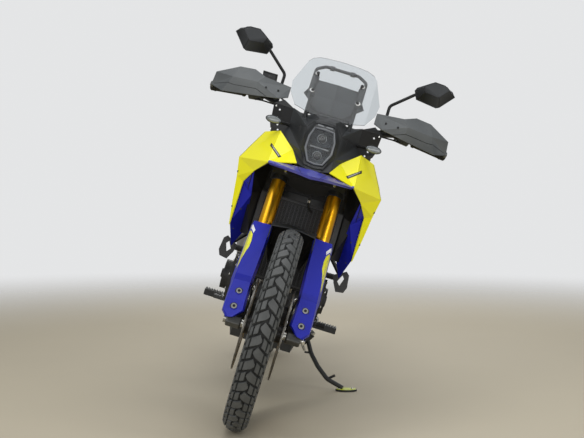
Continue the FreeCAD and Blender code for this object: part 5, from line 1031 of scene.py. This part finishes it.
# Engine: cover screws, gasket lines, inspection caps, cylinder ribs, header flanges, plugs and hoses
parts = {"zincBolt": [], "blackAndShade": [], "blackPowder": [], "ribbedRubber": [], "engineBlack": [],
         "castAlloy": []}
covers = ((-1, -60, 418, 96, 196, 226, 9), (1, -90, 430, 86, 186, 200, 8), (-1, -190, 470, 46, 176, 184, 5))
for hand, y, z, radius, x, crown, count in covers:
    way, face, dish = (hand, 0, 0), Vector((hand * x, y, z)), radius * 0.62
    for k in range(count):
        a = 2 * pi * (k + 0.3) / count
        parts["zincBolt"].append(bolt(face + onDisc(0, radius - 7, a), way, 4.5, 4))
        boss = face + onDisc(0, radius - 4, a)
        parts["engineBlack"].append(lathe([(-34, 9), (0.6, 9), (0.6, 5)], boss, way, 16))
    gasket = [(-1, radius + 0.4), (0.6, radius + 0.4), (0.6, radius - 2), (-1, radius - 2)]
    parts["blackAndShade"].append(lathe(gasket, (hand * (x - 12), y, z), way, 64, capped=False))
    cap = [(0, dish + 5), (2, dish + 4), (5, dish + 1), (crown - x - 4, radius * 0.6),
           (crown - x, radius * 0.54)]
    parts["engineBlack"].append(lathe(cap, face, way, 56))
clutchCap = [(0, 20), (4, 20), (6, 18), (9, 18), (9, 9), (6, 8)]
timingPlug = [(0, 24), (3, 24), (5, 21), (5, 7, 1), (3, 6, 1)]
parts["blackPowder"] += [lathe(clutchCap, (-226, -60, 418), (-1, 0, 0), 36),
                         lathe(timingPlug, (200, -90, 430), toLeft, 36, 6)]
portWay = (0, -0.8, -0.5)
for k in range(5):
    y, z = -216 - 7.5 * k, 560 + 26 * k
    parts["engineBlack"].append(slab((-128, y - 5, z), (128, y + 60, z + 6)))
for hand in (-1, 1):
    parts["zincBolt"] += [bolt((hand * 148, y, z), (hand, 0, 0), 4.5, 4)
                          for y, z in ((-222, 320), (-228, 400), (30, 300), (20, 560), (-180, 560))]
    portFlange = [(0, 30), (7, 30), (7, 22), (0, 22)]
    parts["castAlloy"].append(lathe(portFlange, (hand * 52, -286, 736), portWay, 36, capped=False))
    parts["zincBolt"] += [bolt((hand * 52 + dx, -294, 736 + dz), portWay, 5, 8)
                          for dx, dz in ((-27, 8), (27, -8))]
    lead = ((52, -225, 812), (52, -222, 830), (60, -200, 842), (80, -170, 836))
    parts["ribbedRubber"].append(hose([(hand * x, y, z) for x, y, z in lead], 7, 12))
    plugCap = [(0, 15), (4, 15), (6, 12), (14, 12)]
    parts["blackPowder"].append(lathe(plugCap, (hand * 52, -222, 808), toTop, 24))
pumpHose = [(148, -210, 352), (160, -240, 372), (150, -290, 410), (128, -380, 500)]
returnHose = [(-148, -150, 540), (-158, -180, 600), (-140, -240, 700), (-124, -330, 772)]
parts["ribbedRubber"] += [hose(route, 12, 16) for route in (pumpHose, returnHose)]
pumpClip = [(0, 15), (0, 16), (8, 16), (8, 15)]
parts["castAlloy"] += [lathe(pumpClip, (158, -238, 368), (-0.1, -0.6, 0.6), 24, capped=False)]
parts["zincBolt"] += [bolt((x, y, 808), (0, 0.1, 1), 4.5, 4)
                      for x in (-110, -20, 20, 110) for y in (-250, -170)]
filterSeal = [(0, 34), (1, 34.4), (3, 34.4), (4, 34)]
filterCan = [(0, 33.4), (38, 33.4), (44, 29), (45, 14)]
filterWay = (0, -1, -0.13)
parts["blackAndShade"].append(lathe(filterSeal, (-55, -240, 349), filterWay, 48, capped=False))
parts["blackPowder"] += [lathe(filterCan, (-55, -248, 348), filterWay, 14)]
parts["zincBolt"] += [bolt((162, y, z), toLeft, 4.2, 4)
                      for y, z in ((24, 372), (24, 458), (84, 376), (140, 390), (140, 470))]
onChassis("engine_details", list(parts.items()), bevel=0.4)

# Frame: engine mounting bolts and gussets
parts = {"zincBolt": [], "blackPowder": []}
for hand in (-1, 1):
    for x, y, z in ((158, -60, 622), (158, 150, 612), (169, 200, 326), (158, -236, 690)):
        parts["zincBolt"].append(bolt((hand * (x - 1), y, z), (hand, 0, 0), 8, 7, 11))
    gusset = ((60, -330, 900), (100, -236, 856), (104, -262, 812), (84, -316, 842))
    parts["blackPowder"].append(plate([(hand * x, y, z) for x, y, z in gusset], (hand * 4, 0, 0)))
onChassis("frame_details", list(parts.items()), bevel=0.5)

# Exhaust: clamp bands, end cap ring, heat shield and its rubber-mounted strap
mufflerStart, mufflerWay = Vector((-190, 504, 474)), Vector((-14, 430, 150)).normalized()
mufflerUp = (mufflerWay.cross(Vector(toLeft)) * -1).normalized()
mufflerSide = mufflerWay.cross(mufflerUp).normalized()


def oval(distance, wide, tall, sides=48, start=0.0, end=360.0):
    centre = mufflerStart + mufflerWay * distance
    spots = [radians(start + (end - start) * k / sides)
             for k in range(sides if end - start >= 360 else sides + 1)]
    return [centre + mufflerSide * wide * cos(a) + mufflerUp * tall * sin(a) for a in spots]


def ovalBand(distance, length, wide, tall, lip=0.0):
    grow = 1.4 + lip
    steps = ((0, 0), (0.6, grow), (length - 0.6, grow), (length, 0))
    return loft([oval(distance + along, wide + out, tall + out) for along, out in steps], False)


facing = 1 if mufflerSide.x < 0 else -1
middleAngle = 0 if facing > 0 else 180
shieldArc = (20, middleAngle - 62, middleAngle + 62)
shieldRings = [oval(d, 58, 73, *shieldArc) + list(reversed(oval(d, 56, 71, *shieldArc)))
               for d in (150, 156, 360, 372)]
shieldBolts = [bolt(mufflerStart + mufflerWay * d + mufflerSide * facing * 57.6 + mufflerUp * t,
    mufflerSide * facing, 5, 3) for d, t in ((170, 20), (170, -20), (350, 20), (350, -20))]
jointBand = [(0, 24), (0, 26.5), (22, 26.5), (22, 24)]
oxygenSensor = [(0, 8), (9, 8, 1), (9, 7), (34, 6)]
muffler = [("castAlloy", [ovalBand(112, 10, 52, 68), ovalBand(390, 12, 52, 66, 0.6)]),
           ("blackPowder", [ovalBand(284, 26, 52.4, 67.2, 1.0), loft(shieldRings)]),
           ("zincBolt", shieldBolts),
           ("blackAndShade", [loft([oval(470, 15, 15), oval(477, 15.4, 15.4)], True)]),
           ("castAlloy", [lathe(jointBand, (-189, 486, 470), mufflerWay, 36, capped=False)]),
           ("zincBolt", [lathe(oxygenSensor, (-178, 250, 318), (0.3, -0.4, 0.86), 24, 6)])]
onChassis("muffler_details", muffler)
print("engine and exhaust made")


# Footpegs with their teeth, pedals, and the side stand's spring, sole and lift post
def tooth(x, y, z, half, long, tall, tip):
    levels = ((z, half, 0), (z + tall, tip, 2))
    return loft([[(x - wide, y + inset, level), (x + wide, y + inset, level),
                  (x + wide, y + long - inset, level), (x - wide, y + long - inset, level)] for level, wide,
                 inset in levels])


parts = {"castAlloy": [], "blackPowder": [], "zincBolt": [], "ribbedRubber": []}
for hand in (-1, 1):
    for k in range(9):
        x = hand * (196 + 11.5 * k)
        for y in (99, 134):
            parts["castAlloy"].append(tooth(x, y, 316, 4, 7, 6, 1.4))
    innerX, outerX = sorted((hand * 204, hand * 284))
    parts["ribbedRubber"].append(slab((innerX, 110, 315), (outerX, 130, 319)))
    parts["zincBolt"] += [bolt((hand * 179, 200, 384), (hand, 0, 0), 8, 7, 11),
        bolt((hand * 179, 120, 322), (hand, 0, 0), 6, 5),
        lathe([(0, 6), (30, 6), (32, 8), (35, 8)], (hand * 184, 120, 290), toTop, 20)]
    ribs = [(2 + 7 * k + d, r) for k in range(11) for d, r in ((0, 12), (1, 14), (4.6, 14), (5.6, 12))]
    parts["ribbedRubber"].append(lathe(ribs, (hand * 160, 438, 498), (hand, 0, 0), 24))
ribs = [(1 + 5 * k + d, r) for k in range(7) for d, r in ((0, 9), (0.8, 10.6), (3.2, 10.6), (4, 9))]
parts["ribbedRubber"].append(lathe(ribs, (196, -74, 330), toLeft, 20))
parts["castAlloy"] += [tooth(x, y, 326, 3, 6, 4, 1) for x in (-231, -219, -207, -195)
    for y in (-84, -71, -58)]
onChassis("footpeg_details", list(parts.items()), bevel=0.4)

standPivot = Vector((178, -35, 262))
standOut, standBack = Vector((0.799, -0.293, -0.524)), Vector((0.253, 0.962, -0.101))
standAxis = standOut.cross(standBack).normalized()
ankleSpot = Vector((390 + stance["shift"][0], -122 + stance["shift"][1], 12))
ankle = upright.inverted() @ (Matrix.Scale(millimetre, 4) @ ankleSpot)
coil = []
start, end = standPivot - standAxis * 31, standPivot + (ankle - standPivot) * 0.3 - Vector((49, 0, 14))
springWay, coilAcross, coilUp = basis(end - start)
for k in range(113):
    angle = 2 * pi * k / 8
    coil.append(start + springWay * (9 + ((end - start).length - 18) * k / 112)
                + (coilAcross * cos(angle) + coilUp * sin(angle)) * 5)
spring = [hose(coil, 1.0, 6, 0), hose([start, start + springWay * 5, start + springWay * 9], 1.0, 6),
          hose([end - springWay * 9, end - springWay * 4, end], 1.0, 6)]
piece("stand_spring", "side_stand", upright, [("zincBolt", spring)])
pivotBolt = lathe([(0, 12), (3, 12), (4, 11, 1), (11, 11, 1), (11, 6)], standPivot + standAxis * 25.5,
                  standAxis, 30, 6)
standPin = rod(start + standAxis * 3, start - standAxis * 4, 4, 12)
onChassis("stand_pivot_bolt", [("zincBolt", pivotBolt), ("blackPowder", standPin)])
ground = Matrix.Scale(millimetre, 4) @ Matrix.Translation((stance["shift"][0], stance["shift"][1], 0))


def soleRing(height, grow):
    return [(404 + (42 + grow) * cos(a), -122 + (26 + grow) * sin(a), height)
            for a in [2 * pi * k / 44 for k in range(44)]]


sole = [("blackPowder", [loft([soleRing(h, g)
                               for h, g in ((0.4, 0.2), (1.4, 1.2), (6, 1.2), (7.2, 0.2), (8.2, -2))])]),
        ("standYellow", [loft([soleRing(h, g)
                               for h, g in ((8, -1.5), (9, -3), (9.4, -4.5), (9.4, -12), (8.4, -14))])]),
        ("zincBolt", [bolt((404 + dx, -122 + dy, 9), toTop, 4.4, 3)
                      for dx, dy in ((24, 6), (24, -8), (-27, 9), (-27, -10))])]
piece("stand_sole", "side_stand", ground, sole, bevel=0.3)

# Seats: crowned foam under stitched vinyl, waisted at the front, with seams along the edges and across
seatProfile = ((0, 1.0), (0.3, 0.985), (0.6, 0.93), (0.8, 0.84), (0.92, 0.68), (0.985, 0.46), (1.0, 0.26),
               (0.99, 0.1), (0.93, 0.0), (0.6, 0.0), (0, 0.0))


def cushion(name, stations, seamRows):
    smooth = []
    for column in zip(*stations):
        line = smoothLine([(value, k, 0) for k, value in enumerate(column)], 6)
        smooth.append([spot.x for spot in line])
    rings = []
    for y, half, top, low in zip(*smooth):
        ring = [Vector((share * half, y, low + (top - low) * rise)) for share, rise in seatProfile]
        rings.append(ring + [Vector((-x, b, c)) for x, b, c in reversed(ring[1:-1])])
    front, back = rings[0], rings[-1]
    for ring, shift in ((front, -5), (back, 4)):
        centre = sum(ring, Vector()) / len(ring)
        cap = [centre + (spot - centre) * 0.9 + Vector((0, shift, 0)) for spot in ring]
        if shift < 0:
            rings.insert(0, cap)
        else:
            rings.append(cap)
    body = loft(rings)
    edge = [ring[3] + Vector((0.6, 0, 0.7)) for ring in rings[1:-1]]
    seams = both(hose(edge[::2] + edge[-1:], 1.5, 6, 2))
    for index in seamRows:
        across = [spot + Vector((0, 0, 0.6)) for spot in rings[index][:6]]
        seams.append(hose([Vector((-x, y, z)) for x, y, z in reversed(across[1:])] + across, 1.3, 6, 2))
    made = onChassis(name + "_visual", [("seatVinyl", [body]), ("seatSeam", seams)], "seat", (name,),
                     sharp=60)


riderStations = [(222, 84, 875, 811), (255, 92, 862, 822), (300, 104, 856, 829), (420, 143, 859, 831),
                 (500, 149, 866, 831), (545, 145, 878, 831)]
pillionStations = [(550, 137, 898, 833), (640, 135, 911, 841), (760, 119, 917, 853), (868, 91, 916, 861)]
cushion("rider_seat", riderStations, (9, 26))
cushion("pillion_seat", pillionStations, (8, 14))
strapRing = [Vector((x, 640, z)) for x, z in (
    (-137, 868), (-124, 902), (-60, 912), (0, 914), (60, 912), (124, 902), (137, 868))]
strapSection = ((-13, 0.4), (13, 0.4), (13, 2.4), (-13, 2.4))
strap = loft([[spot + Vector((0, y, z)) for y, z in strapSection] for spot in strapRing])
onChassis("passenger_strap", [("seatSeam", strap)])

# Tail: lamp lens cells and surround, plate screws and lamp, rack and grab-rail screws
parts = {"redLens": [], "blackGrain": [], "zincBolt": [], "clearLens": [], "ribbedRubber": []}
for row in range(3):
    for k in range(9):
        x, z = -44 + 11 * k, 846 - 8 * row
        cell = [[(x - half, y, z - tall), (x + half, y, z - tall), (x + half, y, z + tall),
                 (x - half, y, z + tall)] for half, y, tall in ((4.6, 961.4, 3.4), (3.6, 962.3, 2.6))]
        parts["redLens"].append(loft(cell))
tailLampRim = [(-62, 948, 852), (62, 948, 852), (46, 948, 821), (-46, 948, 821)]
parts["blackGrain"].append(hose(tailLampRim, 3, 8, 0, True))
plateWay, plateOut = Vector((0, 72, -120)).normalized(), Vector((0, 120, 72)).normalized()
plateCorner = Vector((0, 1140, 640)) + plateOut * 2.2 + plateWay * 4
for x in (-60, 60):
    parts["zincBolt"].append(bolt(plateCorner + plateWay * 24 + Vector((x, 0, 0)), plateOut, 5, 3, 8))
rim = [plateCorner + plateWay * d + Vector((x, 0, 0))
       for x, d in ((-92, 3), (92, 3), (92, 131), (-92, 131))]
parts["blackGrain"].append(hose(rim, 0.8, 6, 0, True))
lampBox = Vector((0, 1122, 660))
lampSides = ((-26, -14), (26, -14), (22, 4), (-22, 4))
lampHood = [lampBox + Vector((x, 0, 0)) + plateWay * d for x, d in lampSides]
parts["blackGrain"].append(plate(lampHood, plateOut * 12))
for x, y in ((-93, 884), (93, 884), (-84, 1044), (84, 1044), (-50, 1062), (50, 1062)):
    parts["zincBolt"].append(bolt((x, y, 930), toTop, 6, 4, 8))
for hand in (-1, 1):
    parts["zincBolt"].append(bolt((hand * 101, 646, 806), (hand, -0.2, 0.2), 6, 4))
    reflector = [(0, 17), (3, 17), (4, 15), (4.4, 4)]
    parts["redLens"].append(lathe(reflector, (hand * 45, 1196, 536), plateOut, 30))
onChassis("tail_details", list(parts.items()), bevel=0.3)

# Rack: the rubber pads on its deck
rackParts = [slab((x - 5, 900, 930), (x + 5, 1060, 931.6)) for x in (-72, 72)]
onChassis("rack_pads", [("ribbedRubber", rackParts)], bevel=0.4)

# Skid plate: pressed ribs, air slots and screws
parts = {"castAlloy": [], "blackAndShade": [], "zincBolt": []}


def onSkid(x, z):
    return onto("skid_plate", upright, (x, -600, z), toBack)


for x in (-70, -35, 0, 35, 70):
    parts["castAlloy"].append(hose([onSkid(x, z) for z in (300, 330, 370, 410)], 2.4, 8, 3))
for x in (-52, -17, 17, 52):
    slot = flat([((x - 6, 424), (x + 6, 424)), ((x - 6, 400), (x + 6, 400))], -600)
    parts["blackAndShade"].append(decal("skid_plate", upright, slot, toBack, 0.4, 1, 2))
for x in (-84, 84):
    for z in (320, 430):
        parts["zincBolt"].append(bolt(onSkid(x, z), toFront, 5, 3, 8))
onChassis("skid_plate_details", list(parts.items()), bevel=0.3)
for name, wheel, rimRadius in (("front", frontWheel, 248), ("rear", rearWheel, 200)):
    valve = lathe([(0, 4), (8, 4), (10, 3), (30, 3), (30, 4), (38, 4)], (0, 0, rimRadius), (0, 0, -1), 14)
    piece(name + "_valve", name + "_wheel", wheel, [("ribbedRubber", valve)])
print("pegs, stand, seats and tail made")

# Crisp or rolled edges on the CAD pieces, as wide as each is really rounded
edgeWidths = {
    1.2: "fork_guards beak upper_shrouds lower_shrouds handguards tail_panels swingarm "
        "instrument_panel plate_bracket front_calipers fuel_cap",
    1.0: "front_fender handlebar hand_controls skid_plate shroud_stays rear_hugger radiator",
    0.9: "headlight_cowl inner_panels",
    1.4: "mirrors",
    1.5: "fork_clamps engine",
    2.0: "engine_covers",
    0.8: "windscreen footpegs rear_rack muffler",
    0.4: "number_plate",
}
for width, names in edgeWidths.items():
    for name in names.split():
        edge = node[name].modifiers.new("edge", "BEVEL")
        edge.width, edge.segments, edge.limit_method = width * millimetre, 2, "ANGLE"
        edge.angle_limit, edge.harden_normals, edge.use_clamp_overlap = radians(24), True, True
print("edges rounded")

# Camera where the photograph's features put it
view = {"place": (-60.96, -4092.49, 774.51), "yaw": -0.92677, "down": 1.2269, "roll": 0.2301,
        "focal": 980.83, "width": 584.0}
ahead = Vector((sin(radians(view["yaw"])) * cos(radians(view["down"])),
                cos(radians(view["yaw"])) * cos(radians(view["down"])),
                -sin(radians(view["down"]))))
side = ahead.cross(Vector(toTop)).normalized()
above = side.cross(ahead)
roll = radians(view["roll"])
rolledSide = cos(roll) * side + sin(roll) * above
rolledAbove = cos(roll) * above - sin(roll) * side
camera = bpy.data.objects.new("camera", bpy.data.cameras.new("camera"))
camera.matrix_world = Matrix((rolledSide, rolledAbove, -ahead)).transposed().to_4x4()
camera.location = Vector(view["place"]) * millimetre
camera.data.sensor_width = 36.0
camera.data.lens = camera.data.sensor_width * view["focal"] / view["width"]
bpy.context.scene.collection.objects.link(camera)
bpy.context.scene.camera = camera

# Pale floor and soft studio lamps
bpy.context.scene.view_settings.view_transform = "Standard"


# Matt pale floor: fine mottle near the machine, clearing into the backdrop a few metres out
def floorMaterial(name, code):
    made, tree = newMaterial(name)
    place = addNode(tree, "ShaderNodeTexCoord")
    mottle = addNode(tree, "ShaderNodeTexNoise", {"Scale": 3.0, "Detail": 5.0},
                     {"Vector": place.outputs["Object"]})
    tone = addNode(tree, "ShaderNodeMapRange", {3: 0.965, 4: 1.0}, {0: mottle.outputs["Fac"]})
    colour = addNode(tree, "ShaderNodeMix",
                     {"data_type": "RGBA", "blend_type": "MULTIPLY", 0: 1.0, 6: linear(code)},
                     {7: tone.outputs[0]})
    shader = addNode(tree, "ShaderNodeBsdfPrincipled", {"Roughness": 0.7},
                     {"Base Color": colour.outputs[2]})
    far = addNode(tree, "ShaderNodeVectorMath", {"operation": "LENGTH"}, {0: place.outputs["Object"]})
    fade = addNode(tree, "ShaderNodeMapRange", {1: 2.0, 2: 6.5, "interpolation_type": "SMOOTHSTEP"},
                   {0: far.outputs["Value"]})
    clear = addNode(tree, "ShaderNodeBsdfTransparent")
    blended = addNode(tree, "ShaderNodeMixShader", (),
                      {0: fade.outputs[0], 1: shader.outputs[0], 2: clear.outputs[0]})
    addNode(tree, "ShaderNodeOutputMaterial", (), {0: blended.outputs[0]})
    return made


def stagePlane(name, corners, material):
    mesh = bpy.data.meshes.new(name)
    mesh.from_pydata(corners, [], [tuple(range(len(corners)))])
    mesh.materials.append(material)
    made = bpy.data.objects.new(name, mesh)
    bpy.context.scene.collection.objects.link(made)
    return made


stagePlane("floor", [(-14, -14, 0), (14, -14, 0), (14, 14, 0), (-14, 14, 0)],
           floorMaterial("paleFloor", "#b9b09b"))

world = bpy.data.worlds.new("studio")
bpy.context.scene.world = world
world.use_nodes = True
world.node_tree.nodes.clear()
path = addNode(world.node_tree, "ShaderNodeLightPath")
seen = addNode(world.node_tree, "ShaderNodeMath", {"operation": "MAXIMUM"},
               {0: path.outputs["Is Camera Ray"], 1: path.outputs["Is Transmission Ray"]})
strength = addNode(world.node_tree, "ShaderNodeMapRange", {3: 0.34, 4: 0.86}, {0: seen.outputs[0]})
shade = addNode(world.node_tree, "ShaderNodeBackground", {"Color": linear("#f4f5f6")},
                {"Strength": strength.outputs[0]})
addNode(world.node_tree, "ShaderNodeOutputWorld", (), {0: shade.outputs[0]})


def softLamp(name, place, aim, size, power):
    data = bpy.data.lights.new(name, "AREA")
    data.shape, data.size, data.size_y, data.energy = "RECTANGLE", size[0], size[1], power
    made = bpy.data.objects.new(name, data)
    made.location = place
    made.rotation_euler = (Vector(aim) - Vector(place)).to_track_quat("-Z", "Y").to_euler()
    bpy.context.scene.collection.objects.link(made)


softLamp("overhead", (0, -0.8, 4.2), (0, 0, 0.6), (4.4, 3.4), 84)
softLamp("frontLeft", (-3.2, -3.4, 2.4), (0, -0.3, 0.8), (1.2, 2.4), 52)
softLamp("frontRight", (3.2, -3.2, 2.2), (0, -0.3, 0.8), (1.2, 2.4), 46)
softLamp("lowFront", (0.4, -5.6, 0.9), (0, -0.4, 0.8), (4.2, 1.4), 44)
softLamp("behind", (0.5, 3.8, 2.8), (0, 0.4, 0.7), (3.4, 1.6), 55)
print("camera and lamps set")
